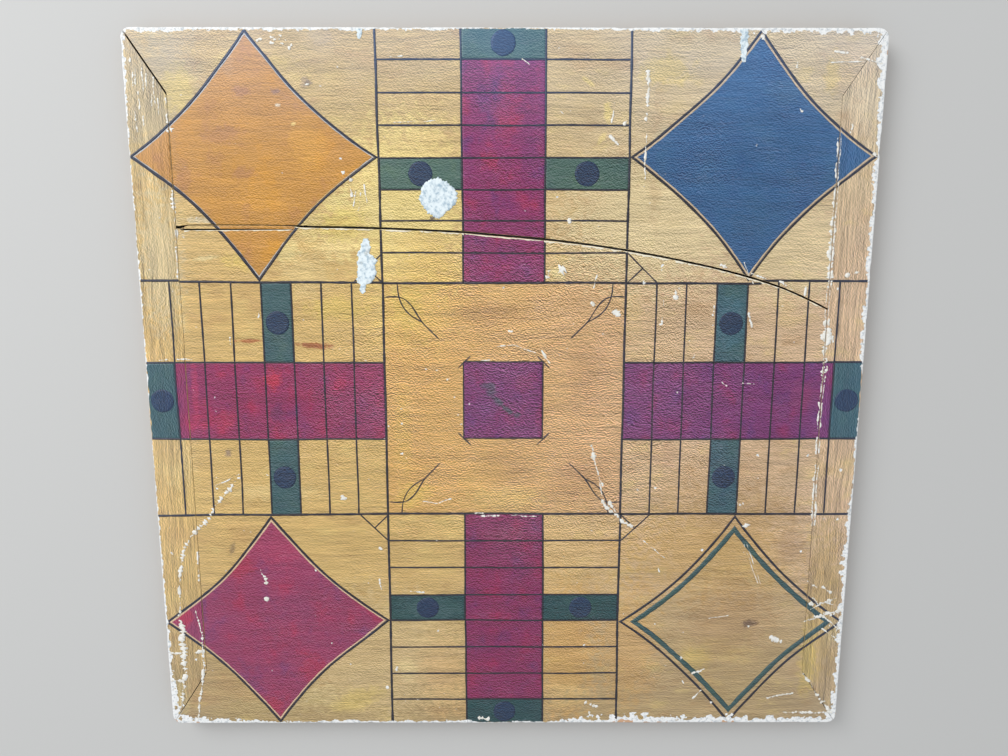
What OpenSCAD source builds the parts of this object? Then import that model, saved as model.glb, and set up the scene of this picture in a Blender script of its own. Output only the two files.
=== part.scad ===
// Old cross-and-circle race game board of solid wood, painted by hand.
// A wide panel is held flat by a mitred end piece at its left and at its right edge.
// The panel has shrunk across its grain and split from seam to seam, so it is now two pieces.
// Each coat of paint is a thin solid of its own, laid on the flat of the painted face.
// Seen from above, +X is right and +Y is the far side. The origin is the middle of the underside.

/* [Board] */
// Width of one lane of cells
lane_w = 50.8; // [45:0.1:58]
// Length of one cell along its lane
cell_len = 19.05; // [17.5:0.05:24]
// Number of cells along each arm
rows = 8; // [6:1:9]
// Share of its first depth that the panel has kept across its grain
kept = 0.99; // [0.97:0.005:1]
// Thickness of the wood
board_t = 16; // [12:0.5:25]
// Radius of the four corners, seen from above
corner_r = 6; // [5:0.5:12]
// Round-over of the painted face's edges
top_round = 2.5; // [0.5:0.25:4]
// Round-over of the underside's edges
under_round = 1; // [0.5:0.25:3]

/* [End pieces] */
// Width of each end piece
end_w = 25.4; // [20:0.2:40]
// Length of each corner mitre, measured along the seam
mitre_len = 39; // [30:0.5:60]
// Gap at the seam between the panel and an end piece
seam_gap = 0.2; // [0.1:0.05:0.6]
// Gap of the far left mitre, which the shrinking panel has opened
far_left_gap = 1; // [0.1:0.05:1.5]
// Gap of the far right mitre
far_right_gap = 0.3; // [0.1:0.05:1.5]
// Gap of the near left mitre
near_left_gap = 0.5; // [0.1:0.05:1.5]
// Gap of the near right mitre
near_right_gap = 0.4; // [0.1:0.05:1.5]
// Length of the tongues along the panel's two ends
tongue_len = 10; // [5:0.5:15]
// Thickness of the tongues
tongue_t = 5; // [3:0.25:7]
// How far each tongue stops short of the mitres
tongue_stop = 6; // [3:0.5:20]
// Clearance round a tongue in its groove
tongue_clear = 0.15; // [0.05:0.05:0.4]

/* [Split] */
// Distance of the split's level stretch from the middle of the board
split_y = 110.8; // [90:0.2:125]
// Length of the level stretch, from the left seam
split_flat = 49; // [10:1:120]
// How far the split falls towards the near side by the right seam
split_fall = 51.2; // [10:0.2:70]
// Width of the split over most of its length
split_w = 1; // [0.3:0.05:2]
// Width of the split at the right seam
split_tip_w = 0.8; // [0.2:0.05:1]
// Width of the splinter that has lifted along the split at the left
splinter_w = 2.4; // [1.5:0.1:5]
// Length of the splinter
splinter_len = 72; // [30:1:120]
// Width of the crack behind the splinter at its open end
crack_w = 0.8; // [0.3:0.05:1.5]
// Depth of the crack behind the splinter
crack_depth = 6; // [2:0.5:10]

/* [Paint] */
// Thickness of every coat of paint
paint_t = 0.12; // [0.05:0.01:0.5]
// Bare margin between the paint and the round-over of the edges
paint_margin = 0.5; // [0:0.1:3]
// Width of the lines along the outer lanes and round the home square
outer_line = 1.4; // [0.6:0.1:2.5]
// Width of the two lines beside each centre lane
inner_line = 1.1; // [0.5:0.1:2]
// Width of the lines across the lanes, between the cells
row_line = 1; // [0.4:0.1:1.5]
// Radius of the dots on the safe cells
dot_r = 7.4; // [4:0.1:7.8]
// Which cell of a side lane is the safe one, counted outwards from the home square
safe_row = 4; // [2:1:5]

/* [Nests] */
// How far each side of a nest curves in from a straight line between its points
nest_sag = 6; // [2:0.25:10]
// Width of the line round each nest
nest_line = 1.5; // [0.6:0.1:2]
// Bare gap inside the orange nest's line
orange_gap = 0.2; // [0.2:0.1:3]
// Bare gap inside the blue nest's line
blue_gap = 1; // [0.2:0.1:3]
// Bare gap inside the red nest's line
red_gap = 0.9; // [0.2:0.1:3]
// Bare gap inside the green nest's line
green_gap = 2.7; // [0.5:0.1:5]
// Width of the green band, which has bare ground inside it
green_band = 2.3; // [1:0.1:6]

/* [Home square] */
// Side of the red square in the middle
centre_w = 51; // [30:0.5:60]
// Width of the line round the red square
centre_line = 0.9; // [0.4:0.1:1.5]
// Length of the ticks across the red square's corners
tick_len = 10; // [4:0.5:16]
// Width of the thin lines of the corner ornaments and the braces
fine_line = 0.6; // [0.3:0.1:1.2]
// Distance from a home corner to where an ornament's two curves start
arrow_start = 9; // [4:0.5:14]
// Distance along each side from a home corner to where the two curves meet
arrow_meet = 25; // [20:0.5:30]
// Distance along each side from a home corner to the ornament's tip
arrow_tip = 35; // [31:0.5:42]

/* [Hidden] */
$fn = 64;

FAR = 0;
RIGHT = 1;
NEAR = 2;
LEFT = 3;
ARMS = [FAR, RIGHT, NEAR, LEFT];
CORNERS = [[-1, 1], [1, 1], [1, -1], [-1, -1]];

wood = "#8a6a45";
ink = "#23262e";
crimson = "#9c2f57";
bottle_green = "#34564f";
orange = "#cf8d45";
blue = "#2f4f6b";

home_half = 1.5 * lane_w;
half_w = home_half + rows * cell_len;
half_d = half_w * kept;
seam_x = half_w - end_w;
mitre_slope = mitre_len / end_w;
nest_reach = (rows * cell_len - outer_line) / 2;
nest_place = (home_half + half_w) / 2;
split_steps = 36;
split_late = 0.36;
past = 1;

// Distance from the middle of the board to the inner end of the cell that row i holds.
function row(i) = home_half + i * cell_len;

// Point of an arm, given across its lanes and outwards from the middle, as a point of the board.
// The depth of the board carries the shrinkage.
function at(arm, p) =
    let (q = arm == FAR ? p : arm == RIGHT ? [p.y, -p.x] : arm == NEAR ? -p : [-p.y, p.x])
    [q.x, q.y * kept];

// Level of the split at x. It falls with the square of the way to the right seam,
// and a share of it, split_late, only close to that seam.
function split_run(x) = max(0, (x + seam_x - split_flat) / (2 * seam_x - split_flat));
function split_at(x) =
    let (t = split_run(x)) split_y - split_fall * ((1 - split_late) * t ^ 2 + split_late * t ^ 6);
function split_gap(x) = split_w + (split_tip_w - split_w) * min(1, split_run(x)) ^ 3;

// One lip of the split as points over reach on both sides of the middle, from left to right.
// Side is 1 for the far lip and -1 for the near one.
function split_lip(side, reach) = [
    for (i = [0 : split_steps])
    let (x = (2 * i / split_steps - 1) * reach)
    [x, split_at(x) + side * split_gap(x) / 2]
];

function backwards(points) = [for (i = [len(points) - 1 : -1 : 0]) points[i]];
function turned(v) = [-v.y, v.x] / norm(v);

// Both edges of a line of width w through the points, as one outline.
function ribbon(points, w) =
    let (
        last = len(points) - 1,
        side = [for (i = [0 : last]) turned(points[min(i + 1, last)] - points[max(i - 1, 0)]) * w / 2]
    )
    concat(
        [for (i = [0 : last]) points[i] + side[i]],
        [for (i = [last : -1 : 0]) points[i] - side[i]]
    );

module ruled(a, b, w) polygon(ribbon([a, b], w));

module patch(arm, a, b)
    polygon([at(arm, a), at(arm, [b.x, a.y]), at(arm, b), at(arm, [a.x, b.y])]);

// What a round-over takes off a square corner at the origin, with the wood at -X and -Y.
module round_cut(r) {
    difference() {
        translate([-r, -r]) square(r + past);
        translate([-r, -r]) circle(r);
    }
}

// Section of the board from a point inside it out to its edge.
module edge_section(reach) {
    difference() {
        square([reach, board_t]);
        translate([reach, board_t]) round_cut(top_round);
        translate([reach, 0]) mirror([0, 1]) round_cut(under_round);
    }
}

module bar_section(half) {
    edge_section(half);
    mirror([1, 0]) edge_section(half);
}

// The whole board before it is cut into pieces: a moulded bar each way and four turned corners.
module blank() {
    rotate([90, 0, 90]) linear_extrude(2 * (half_w - corner_r), center = true) bar_section(half_d);
    rotate([90, 0, 0]) linear_extrude(2 * (half_d - corner_r), center = true) bar_section(half_w);
    for (c = CORNERS)
        translate([c.x * (half_w - corner_r), c.y * (half_d - corner_r), 0])
            rotate_extrude() edge_section(corner_r);
}

// Outline of the right end piece. With back and the two gaps it is the room cut out of the panel.
module end_outline(back, far_gap, near_gap) {
    a = seam_x - back;
    b = half_w + past;
    widen = norm([end_w, mitre_len]) / end_w;
    inner = half_d - mitre_len - back * mitre_slope;
    outer = half_d + past * mitre_slope;
    polygon([
        [a, inner + far_gap * widen], [b, outer + far_gap * widen],
        [b, -outer - near_gap * widen], [a, -inner - near_gap * widen]
    ]);
}

// The tongue along the panel's right end, or with room the groove that takes it.
module tongue(room) {
    long = 2 * (half_d - mitre_len - tongue_stop + room);
    back = seam_gap + past;
    translate([seam_x - back, -long / 2, (board_t - tongue_t) / 2 - room])
        cube([back + tongue_len + room, long, tongue_t + 2 * room]);
}

module end_piece(side) {
    color(wood)
        mirror([side < 0 ? 1 : 0, 0, 0])
            difference() {
                intersection() {
                    blank();
                    linear_extrude(board_t) end_outline(0, 0, 0);
                }
                tongue(tongue_clear);
            }
}

module whole_panel() {
    intersection() {
        blank();
        linear_extrude(board_t)
            difference() {
                square(2 * (half_w + past), center = true);
                end_outline(seam_gap, far_right_gap, near_right_gap);
                mirror([1, 0]) end_outline(seam_gap, far_left_gap, near_left_gap);
            }
    }
    tongue(0);
    mirror([1, 0, 0]) tongue(0);
}

// The part of the panel on one side of the split: 1 is the far side, -1 the near side.
module panel_part(side) {
    intersection() {
        whole_panel();
        linear_extrude(board_t)
            polygon(concat(
                split_lip(side, half_w + past),
                [[half_w + past, side * (half_w + past)], [-half_w - past, side * (half_w + past)]]
            ));
    }
}

// Crack behind the splinter: it follows the split and narrows to nothing at the splinter's root.
function crack_line(drop) = [
    for (i = [0 : 8])
    let (x = -seam_x - past + i / 8 * (splinter_len + past))
    [x, split_at(x) - split_gap(x) / 2 - splinter_w - drop * (1 - i / 8)]
];

module crack() polygon(concat(crack_line(0), backwards(crack_line(crack_w))));

module panel_far() color(wood) panel_part(1);

module panel_near() {
    color(wood)
        difference() {
            panel_part(-1);
            translate([0, 0, board_t - crack_depth]) linear_extrude(crack_depth + past) crack();
        }
}

module end_left() end_piece(-1);

module end_right() end_piece(1);

// The flat of the painted face that can hold paint: the seams, the split and the crack break it.
module paintable() {
    edge = top_round + paint_margin;
    difference() {
        square([2 * (half_w - edge), 2 * (half_d - edge)], center = true);
        polygon(concat(split_lip(1, seam_x), backwards(split_lip(-1, seam_x))));
        crack();
        for (side = [-1, 1])
            translate([side * (seam_x - seam_gap / 2), 0])
                square([seam_gap, 2 * half_d], center = true);
    }
}

module coat(tint) {
    color(tint)
        translate([0, 0, board_t])
            linear_extrude(paint_t)
                intersection() {
                    union() children();
                    paintable();
                }
}

// Lines of one arm. Those of the left and right arms stop at the far and near arms' lines.
module arm_lines(arm) {
    side_arm = arm == RIGHT || arm == LEFT;
    shy = side_arm ? outer_line / 2 : -outer_line / 2;
    coat(ink) {
        for (lane = [-1.5, 1.5])
            ruled(at(arm, [lane * lane_w, home_half + shy]), at(arm, [lane * lane_w, half_w]), outer_line);
        for (lane = [-0.5, 0.5])
            ruled(at(arm, [lane * lane_w, home_half]), at(arm, [lane * lane_w, half_w]), inner_line);
        ruled(at(arm, [shy - home_half, home_half]), at(arm, [home_half - shy, home_half]), outer_line);
        for (i = [1 : rows - 1])
            ruled(at(arm, [-home_half, row(i)]), at(arm, [home_half, row(i)]), row_line);
    }
}

// Seven red cells up the middle of an arm, between its lines.
module red_lane(arm) {
    half = (lane_w - inner_line) / 2;
    coat(crimson)
        for (i = [0 : rows - 2])
            patch(arm, [-half, row(i) + (i == 0 ? outer_line : row_line) / 2], [half, row(i + 1) - row_line / 2]);
}

// Middles of an arm's three safe cells: one in each side lane and the outermost of the middle lane.
function safe_places(arm) = [
    at(arm, [-lane_w, row(safe_row - 0.5)]),
    at(arm, [lane_w, row(safe_row - 0.5)]),
    at(arm, [0, row(rows - 0.5)])
];

module safe_cells(arm) {
    low = row(safe_row - 1) + row_line / 2;
    high = row(safe_row) - row_line / 2;
    inner = (lane_w + inner_line) / 2;
    outer = home_half - outer_line / 2;
    half = (lane_w - inner_line) / 2;
    coat(bottle_green)
        difference() {
            union() {
                patch(arm, [inner, low], [outer, high]);
                patch(arm, [-outer, low], [-inner, high]);
                patch(arm, [-half, row(rows - 1) + row_line / 2], [half, half_w]);
            }
            for (place = safe_places(arm)) translate(place) circle(dot_r);
        }
}

module safe_dots() {
    coat(ink)
        for (arm = ARMS, place = safe_places(arm)) translate(place) circle(dot_r);
}

// One nest: a four-pointed shape whose sides are arcs that curve in, drawn inset from its rim.
module nest(corner, inset) {
    tips = [for (p = [[0, 1], [1, 0], [0, -1], [-1, 0]]) [p.x, p.y * kept] * nest_reach];
    translate([corner.x * nest_place, corner.y * nest_place * kept])
        difference() {
            polygon(tips);
            for (i = [0 : 3]) {
                a = tips[i];
                b = tips[(i + 1) % 4];
                chord = norm(b - a);
                r = (chord ^ 2 / 4 + nest_sag ^ 2) / (2 * nest_sag);
                translate((a + b) / 2 + turned(b - a) * (r - nest_sag)) circle(r + inset, $fn = 256);
            }
        }
}

module nest_ring(corner, outer, inner) {
    difference() {
        nest(corner, outer);
        nest(corner, inner);
    }
}

module nest_rim(corner) coat(ink) nest_ring(corner, 0, nest_line);

module nest_fill(corner, tint, gap) coat(tint) nest(corner, nest_line + gap);

// Short slanted line across the outside of each home corner, with a spur from the corner to it.
module corner_braces() {
    coat(ink)
        for (c = CORNERS)
            intersection() {
                union() {
                    ruled(home_point(c, [0, -cell_len]), home_point(c, [-cell_len, 0]), fine_line);
                    ruled(home_point(c, [0, 0]), home_point(c, -[cell_len, cell_len] / 2), fine_line);
                }
                polygon([
                    for (p = [[0, 0], [1, 0], [1, 1], [0, 1]])
                    let (away = [1, 1] * outer_line / 2 + p * cell_len)
                    [c.x * (home_half + away.x), c.y * (home_half * kept + away.y)]
                ]);
            }
}

// Point near a home corner: p runs in from the two sides of the home square.
function home_point(c, p) = [c.x * (home_half - p.x), c.y * (home_half - p.y) * kept];

// Cubic curve through four control points.
function bend(p, steps) = [
    for (i = [0 : steps])
    let (t = i / steps, s = 1 - t)
    p[0] * s ^ 3 + 3 * p[1] * s ^ 2 * t + 3 * p[2] * s * t ^ 2 + p[3] * t ^ 3
];

// Two curves that leave the sides of the home square at a corner, meet, and go on as one line.
module corner_arrows() {
    start = [outer_line / 2, arrow_start];
    meet = [arrow_meet, arrow_meet];
    curve = bend([start, [0.64 * arrow_meet, 0.78 * arrow_start], [0.76, 0.64] * arrow_meet, meet], 10);
    coat(ink)
        for (c = CORNERS) {
            polygon(ribbon([for (p = curve) home_point(c, p)], fine_line));
            polygon(ribbon([for (p = curve) home_point(c, [p.y, p.x])], fine_line));
            ruled(home_point(c, meet - [1, 1] * fine_line), home_point(c, [arrow_tip, arrow_tip]), fine_line);
        }
}

// Line round the red square, with a slanted tick across each of its corners.
module centre_marks() {
    tips = [for (c = CORNERS) [c.x, c.y * kept] * centre_w / 2];
    for (i = [0 : 3]) {
        half = [CORNERS[i].x, -CORNERS[i].y] * tick_len / 2 / sqrt(2);
        ruled(tips[i], tips[(i + 1) % 4], centre_line);
        ruled(tips[i] - half, tips[i] + half, centre_line);
    }
}

module centre_outline() coat(ink) centre_marks();

module centre_square() {
    half = (centre_w - centre_line) / 2;
    coat(crimson)
        difference() {
            patch(FAR, [-half, -half], [half, half]);
            centre_marks();
        }
}

module lines_far() arm_lines(FAR);
module lines_right() arm_lines(RIGHT);
module lines_near() arm_lines(NEAR);
module lines_left() arm_lines(LEFT);

module red_lane_far() red_lane(FAR);
module red_lane_right() red_lane(RIGHT);
module red_lane_near() red_lane(NEAR);
module red_lane_left() red_lane(LEFT);

module safe_cells_far() safe_cells(FAR);
module safe_cells_right() safe_cells(RIGHT);
module safe_cells_near() safe_cells(NEAR);
module safe_cells_left() safe_cells(LEFT);

module nest_orange() nest_fill(CORNERS[0], orange, orange_gap);
module nest_orange_line() nest_rim(CORNERS[0]);
module nest_blue() nest_fill(CORNERS[1], blue, blue_gap);
module nest_blue_line() nest_rim(CORNERS[1]);
module nest_red() nest_fill(CORNERS[3], crimson, red_gap);
module nest_red_line() nest_rim(CORNERS[3]);
module nest_green_line() nest_rim(CORNERS[2]);

// The green nest is only a band. The ground shows on both sides of it.
module nest_green() {
    rim = nest_line + green_gap;
    coat(bottle_green) nest_ring(CORNERS[2], rim, rim + green_band);
}

panel_far();
panel_near();
end_left();
end_right();
lines_far();
lines_right();
lines_near();
lines_left();
corner_braces();
corner_arrows();
centre_outline();
centre_square();
red_lane_far();
red_lane_right();
red_lane_near();
red_lane_left();
safe_cells_far();
safe_cells_right();
safe_cells_near();
safe_cells_left();
safe_dots();
nest_orange();
nest_orange_line();
nest_blue();
nest_blue_line();
nest_red();
nest_red_line();
nest_green();
nest_green_line();
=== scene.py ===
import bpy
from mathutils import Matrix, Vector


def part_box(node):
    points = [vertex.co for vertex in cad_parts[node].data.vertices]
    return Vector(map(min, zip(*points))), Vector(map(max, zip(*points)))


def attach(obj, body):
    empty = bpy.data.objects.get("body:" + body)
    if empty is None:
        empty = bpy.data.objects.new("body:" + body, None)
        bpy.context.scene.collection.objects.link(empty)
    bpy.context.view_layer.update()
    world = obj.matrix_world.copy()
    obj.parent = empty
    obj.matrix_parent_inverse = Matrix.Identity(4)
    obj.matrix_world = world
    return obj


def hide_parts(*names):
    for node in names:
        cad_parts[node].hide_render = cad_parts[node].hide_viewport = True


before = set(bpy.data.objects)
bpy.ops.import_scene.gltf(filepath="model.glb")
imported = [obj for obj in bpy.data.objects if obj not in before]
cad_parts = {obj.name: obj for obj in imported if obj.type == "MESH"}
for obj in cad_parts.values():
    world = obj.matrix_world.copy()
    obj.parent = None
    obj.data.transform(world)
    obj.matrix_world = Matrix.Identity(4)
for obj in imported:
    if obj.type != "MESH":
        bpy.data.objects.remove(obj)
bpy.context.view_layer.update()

import bpy
import mathutils
import numpy as np

# The panel is one wide board of soft wood, planed flat, with its grain running left to right.
# It shrank across the grain and split from seam to seam, so a far part and a near part are left.
# A splinter has lifted from the near part's lip at the left. Lengths are in millimetres.
mm = 0.001
board_t = 16.0
half_w = 228.6
half_d = 226.314
corner_r = 6.0
top_round = 1.1
under_round = 1.0
seam_x = 203.2
seam_gap = 0.2
mitre_start = half_d - 39.0
mitre_slope = 39.0 / 25.4
mitre_gaps = {"far left": 1.0, "far right": 0.3, "near left": 0.5, "near right": 0.4}
splinter_start = -198.3
splinter_end = -131.0
splinter_w = 2.05
splinter_rise = 0.8
split_level = 110.8
split_fall = 51.2
crack_w = 1.0
crack_depth = 3.2
tongue_len = 10.0
tongue_reach = mitre_start - 6.0
tongue_low = 5.5
tongue_high = 10.5
wall_top = 13.1
wall_foot = 1.3
sharp_turn = 35.0
levels = {"far": 0.0, "near": -0.06, "left": 0.1, "right": 0.08}


def waves(x, y, length, seed):
    """Soft unevenness from about -1 to 1: the mean of seven sine waves, each about length long.
    The seed sets their directions, lengths and phases."""
    draw = np.random.default_rng(seed)
    total = 0.0
    for _ in range(7):
        turn, phase = draw.uniform(0, 2 * np.pi, 2)
        run = (x * np.cos(turn) + y * np.sin(turn)) / (length * draw.uniform(0.6, 1.6))
        total = total + np.sin(2 * np.pi * run + phase)
    return total / 7 ** 0.5 / 1.25


def waves_along(run, length, seed):
    """The same unevenness along one line."""
    return waves(run, 0 * run, length, seed)


def split_run(x):
    """Way along the falling stretch of the split: 0 where it starts to fall, 1 at the right seam."""
    return np.clip((x + seam_x - 49.0) / (2 * seam_x - 49.0), 0, None)


def split_middle(x):
    """Level of the split: 110.8 less 51.2 times a mix of the run squared and the run to the sixth. The
    tear strays from that curve by up to half a millimetre, as measured along it."""
    run = split_run(x)
    strays = [0, 0, -0.1, -0.4, -0.1, 0.1, 0.35, 0.1, 0.3, 0.1, -0.25, -0.4, 0, 0.5, -0.3]
    off_curve = np.interp(x, np.linspace(-203, 203, len(strays)), strays)
    return split_level - split_fall * (0.64 * run ** 2 + 0.36 * run ** 6) + off_curve


def split_half(x):
    """Half the width of the split: 0.63 at the left, 0.57 at the right seam."""
    return 0.63 - 0.06 * np.clip(split_run(x), 0, 1) ** 3


def beside_splinter(x):
    """Share of the splinter's height in the split: 0 before its free end and past its root, else 1."""
    return np.clip((x - splinter_start) / 1.2, 0, 1) * np.clip((splinter_end + 6 - x) / 8, 0, 1)


def far_lip(x):
    """Far lip of the split: its middle and half its width, roughened by torn fibres. Before the
    splinter's free end it stands lower, where a sliver has stayed on it."""
    sliver = 0.76 * np.clip((splinter_start + 0.8 - x) / 1.0, 0, 1)
    return split_middle(x) + split_half(x) - sliver + 0.07 * waves_along(x, 4.5, 3)


def near_lip(x):
    """Near lip of the split. Along the splinter it stands close to the far lip, and before the
    splinter's free end it is broken away."""
    broken = 1.14 * np.clip((splinter_start + 0.8 - x) / 1.0, 0, 1)
    torn = 0.08 * waves_along(x, 5.5, 4) * np.clip(x - splinter_start, 0, 1)
    return split_middle(x) - split_half(x) + splinter_rise * beside_splinter(x) - broken + torn


def crack_top(x):
    """Upper edge of the crack behind the splinter, one splinter's width below the split."""
    return split_middle(x) - split_half(x) + splinter_rise - splinter_w


def crack_open(x):
    """Width of that crack. From the splinter's free end it narrows to nothing at its root."""
    taper = np.clip((splinter_end - x) / (splinter_end - splinter_start), 0, 1) ** 0.45
    return crack_w * taper * np.clip((x - splinter_start + 1.9) / 0.5, 0, 1)


def past_mitre(y, side):
    """End of the panel at the left or right: the seam, or the mitre's line where y is past its start,
    moved back by that mitre's gap measured square to the line."""
    stretch = np.hypot(1, mitre_slope)
    lift = np.where(y > 0, mitre_gaps["far " + side], mitre_gaps["near " + side]) * stretch
    return np.maximum(seam_x - seam_gap, seam_x + (np.abs(y) - mitre_start - lift) / mitre_slope)


def knocked(place, seed, depth):
    """Wood lost from an outer edge to knocks: nothing where the noise is low, else up to depth."""
    loss = 0.75 * waves_along(place, 24, seed) + 0.45 * waves_along(place, 6, seed + 1)
    return depth * np.clip(loss, 0, 1)


def outer_edge(reach, along, along_half, lost):
    """Distance of an outer edge from the middle: its reach less what the quarter circle of the corner
    takes off, which is r less the root of r squared less the way past the corner's start squared."""
    past = np.clip(np.abs(along) - (along_half - corner_r), 0, 0.9999 * corner_r)
    return reach - corner_r + np.sqrt(corner_r ** 2 - past ** 2) - lost


def in_from_outline(x, y):
    """Distance inwards from the board's outline, a rectangle with rounded corners."""
    past_x = np.abs(x) - (half_w - corner_r)
    past_y = np.abs(y) - (half_d - corner_r)
    outside = np.hypot(np.maximum(past_x, 0), np.maximum(past_y, 0))
    return corner_r - outside - np.minimum(np.maximum(past_x, past_y), 0)


def quarter_drop(distance, radius):
    """What a quarter round of that radius takes off the face, this far in from its edge."""
    short = np.clip(radius - distance, 0, radius)
    return radius - np.sqrt(radius ** 2 - short ** 2)


def in_from_joint(x, y, part):
    """Distance inwards from the nearest seam, mitre or lip of the split that bounds this part."""
    if part in ("left", "right"):
        mitre = (mitre_start + (np.abs(x) - seam_x) * mitre_slope - np.abs(y)) / np.hypot(1, mitre_slope)
        return np.minimum(np.abs(x) - seam_x, mitre)
    ends = np.minimum(past_mitre(y, "right") - x, x + past_mitre(y, "left"))
    lip = y - far_lip(x) if part == "far" else near_lip(x) - y
    return np.minimum(ends * 0.8, lip)


def face_height(x, y, part):
    """Height of the painted face: the board's thickness less the round-over at the outline and a small
    easing at the joints, with the part's own level and a slow unevenness from planing and age."""
    eased = 0.08 * np.clip(1 - in_from_joint(x, y, part) / 0.6, 0, 1) ** 2
    uneven = 0.07 * waves(x, y, 80, 8) + 0.03 * waves(0.15 * x, y, 16, 9)
    return board_t - quarter_drop(in_from_outline(x, y), top_round) - eased + levels[part] + uneven


def under_height(x, y):
    """Height of the underside: the small round-over at the outline and a slow unevenness."""
    return quarter_drop(in_from_outline(x, y), under_round) + 0.16 + 0.05 * waves(x, y, 90, 10)


def rungs(start, count, end):
    """Lines between two edges, each as a share of the span and an offset: at the start distances from
    one edge, count of them evenly in the middle, and at the end distances from the other edge."""
    middle = np.linspace(0, 1, count + 2)[1:-1]
    share = np.concatenate([np.zeros(len(start)), middle, np.ones(len(end))])
    between = start[-1] * (1 - middle) - end[-1] * middle
    return share, np.concatenate([start, between, -np.array(end[::-1])])


def plan_grid(left, right, near, far, across, along):
    """Plan of a piece as a grid between four edges. Left and right give x for y, near and far give y
    for x. Each is found from the other's last value, halfway at a time, until both agree."""
    share_x, offset_x = across
    share_y, offset_y = along[0][:, None], along[1][:, None]
    x = np.tile((2 * share_x - 1) * seam_x, (len(share_y), 1))
    y = (near(x) + far(x)) / 2
    for _ in range(60):
        x = (x + left(y) + share_x * (right(y) - left(y)) + offset_x) / 2
        y = (y + near(x) + share_y * (far(x) - near(x)) + offset_y) / 2
    return x, y


def rim_of(rows, columns):
    """Numbers of a grid's outer points, once round from its near left corner, anticlockwise from above."""
    grid = np.arange(rows * columns).reshape(rows, columns)
    return np.concatenate([grid[0, :-1], grid[:-1, -1], grid[-1, :0:-1], grid[:0:-1, 0]])


def grid_faces(rows, columns):
    """Four-cornered faces of a grid, facing up."""
    grid = np.arange(rows * columns).reshape(rows, columns)
    return np.stack([grid[:-1, :-1], grid[:-1, 1:], grid[1:, 1:], grid[1:, :-1]], -1).reshape(-1, 4)


def closed_piece(top, under, rings):
    """Points and faces of a solid: the top grid, the under grid, and a wall between their rims that
    passes through the rings, which go round in the same order from the top down."""
    rows, columns = top.shape[:2]
    count = rows * columns
    rim = rim_of(rows, columns)
    points = np.concatenate([top.reshape(-1, 3), under.reshape(-1, 3), *rings])
    faces = grid_faces(rows, columns)
    hoops = [rim]
    for number in range(len(rings)):
        hoops.append(2 * count + number * len(rim) + np.arange(len(rim)))
    hoops.append(rim + count)
    walls = [faces, faces[:, ::-1] + count]
    for upper, lower in zip(hoops[:-1], hoops[1:]):
        walls.append(np.stack([upper, lower, np.roll(lower, -1), np.roll(upper, -1)], -1))
    return points, np.concatenate(walls)


def new_piece(name, points, faces):
    """Object with the points given in millimetres. Points at one place become one point. A face that
    lost a corner by this becomes a triangle. One that lost more is left out, as is a point of no face."""
    _, first, number = np.unique(np.round(points * 2000), axis=0, return_index=True, return_inverse=True)
    faces = number.reshape(-1)[faces]
    lost = faces == np.roll(faces, -1, axis=1)
    quads = faces[(lost.sum(1) == 0) & (faces[:, 0] != faces[:, 2]) & (faces[:, 1] != faces[:, 3])]
    once = lost.sum(1) == 1
    thirds = faces[once][~lost[once]].reshape(-1, 3)
    used, corners = np.unique(np.concatenate([quads.ravel(), thirds.ravel()]), return_inverse=True)
    corners = corners.reshape(-1)
    quads, thirds = corners[:quads.size].reshape(-1, 4), corners[quads.size:].reshape(-1, 3)
    mesh = bpy.data.meshes.new(name)
    mesh.from_pydata(points[first[used]] * mm, [], quads.tolist() + thirds.tolist())
    mesh.polygons.foreach_set("use_smooth", np.ones(len(mesh.polygons), bool))
    mesh.set_sharp_from_angle(angle=np.radians(sharp_turn))
    mesh.update()
    made = bpy.data.objects.new(name, mesh)
    bpy.context.scene.collection.objects.link(made)
    return made


def wood_piece(name, edges, part, across, along, knocks, joint_reach):
    """Solid of one wooden piece. Its top grid keeps inside the knocked edges, and its under grid does not.
    The wall goes down in rings. Where two of them lie, joint_reach(x, y) moves it out for a tongue or in
    for a groove."""
    left, right, near, far = edges
    top_edges = [
        lambda y: left(y) + knocks[0](y),
        lambda y: right(y) - knocks[1](y),
        lambda x: near(x) + knocks[2](x),
        lambda x: far(x) - knocks[3](x),
    ]
    x, y = plan_grid(*top_edges, across, along)
    low_x, low_y = plan_grid(left, right, near, far, across, along)
    z = face_height(x, y, part)
    if part == "near":
        x, y, z = cracked(x, y, z)
    rim = rim_of(*x.shape)
    rim_x, rim_y = low_x.reshape(-1)[rim], low_y.reshape(-1)[rim]
    reach = joint_reach(rim_x, rim_y)
    joint = [(tongue_high, 0), (tongue_high, 1), (tongue_low, 1), (tongue_low, 0)]
    rings = []
    for level, moved in [(wall_top, 0), *joint, (wall_foot, 0)]:
        rings.append(np.stack([rim_x + moved * reach, rim_y, np.full_like(rim_x, level)], -1))
    top = np.stack([x, y, z], -1)
    under = np.stack([low_x, low_y, under_height(low_x, low_y)], -1)
    return new_piece(name, *closed_piece(top, under, rings))


def cracked(x, y, z):
    """Opens the crack behind the splinter in the near part's top grid. Four lines of the grid lie
    along it: the outer two stay on the face, and the inner two go down to the crack's floor. The
    lines above it are laid between the crack and the lip."""
    upper = len(x) - len(lip_steps)
    top = crack_top(x[upper])
    for row, step in enumerate(lip_steps[::-1]):
        y[upper + row] = top + (1 - step / splinter_w) * (near_lip(x[upper + row]) - top)
        z[upper + row] = face_height(x[upper + row], y[upper + row], "near")
    width = crack_open(x[upper])
    taper = np.clip(width / 0.25, 0, 1)
    for row, share, depth in [(upper, 0, 0), (upper - 1, 0.08, 1), (upper - 2, 0.92, 1), (upper - 3, 1, 0)]:
        y[row] = top - share * width
        z[row] = face_height(x[row], y[row], "near") - depth * crack_depth * taper
    return x, y, z


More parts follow.
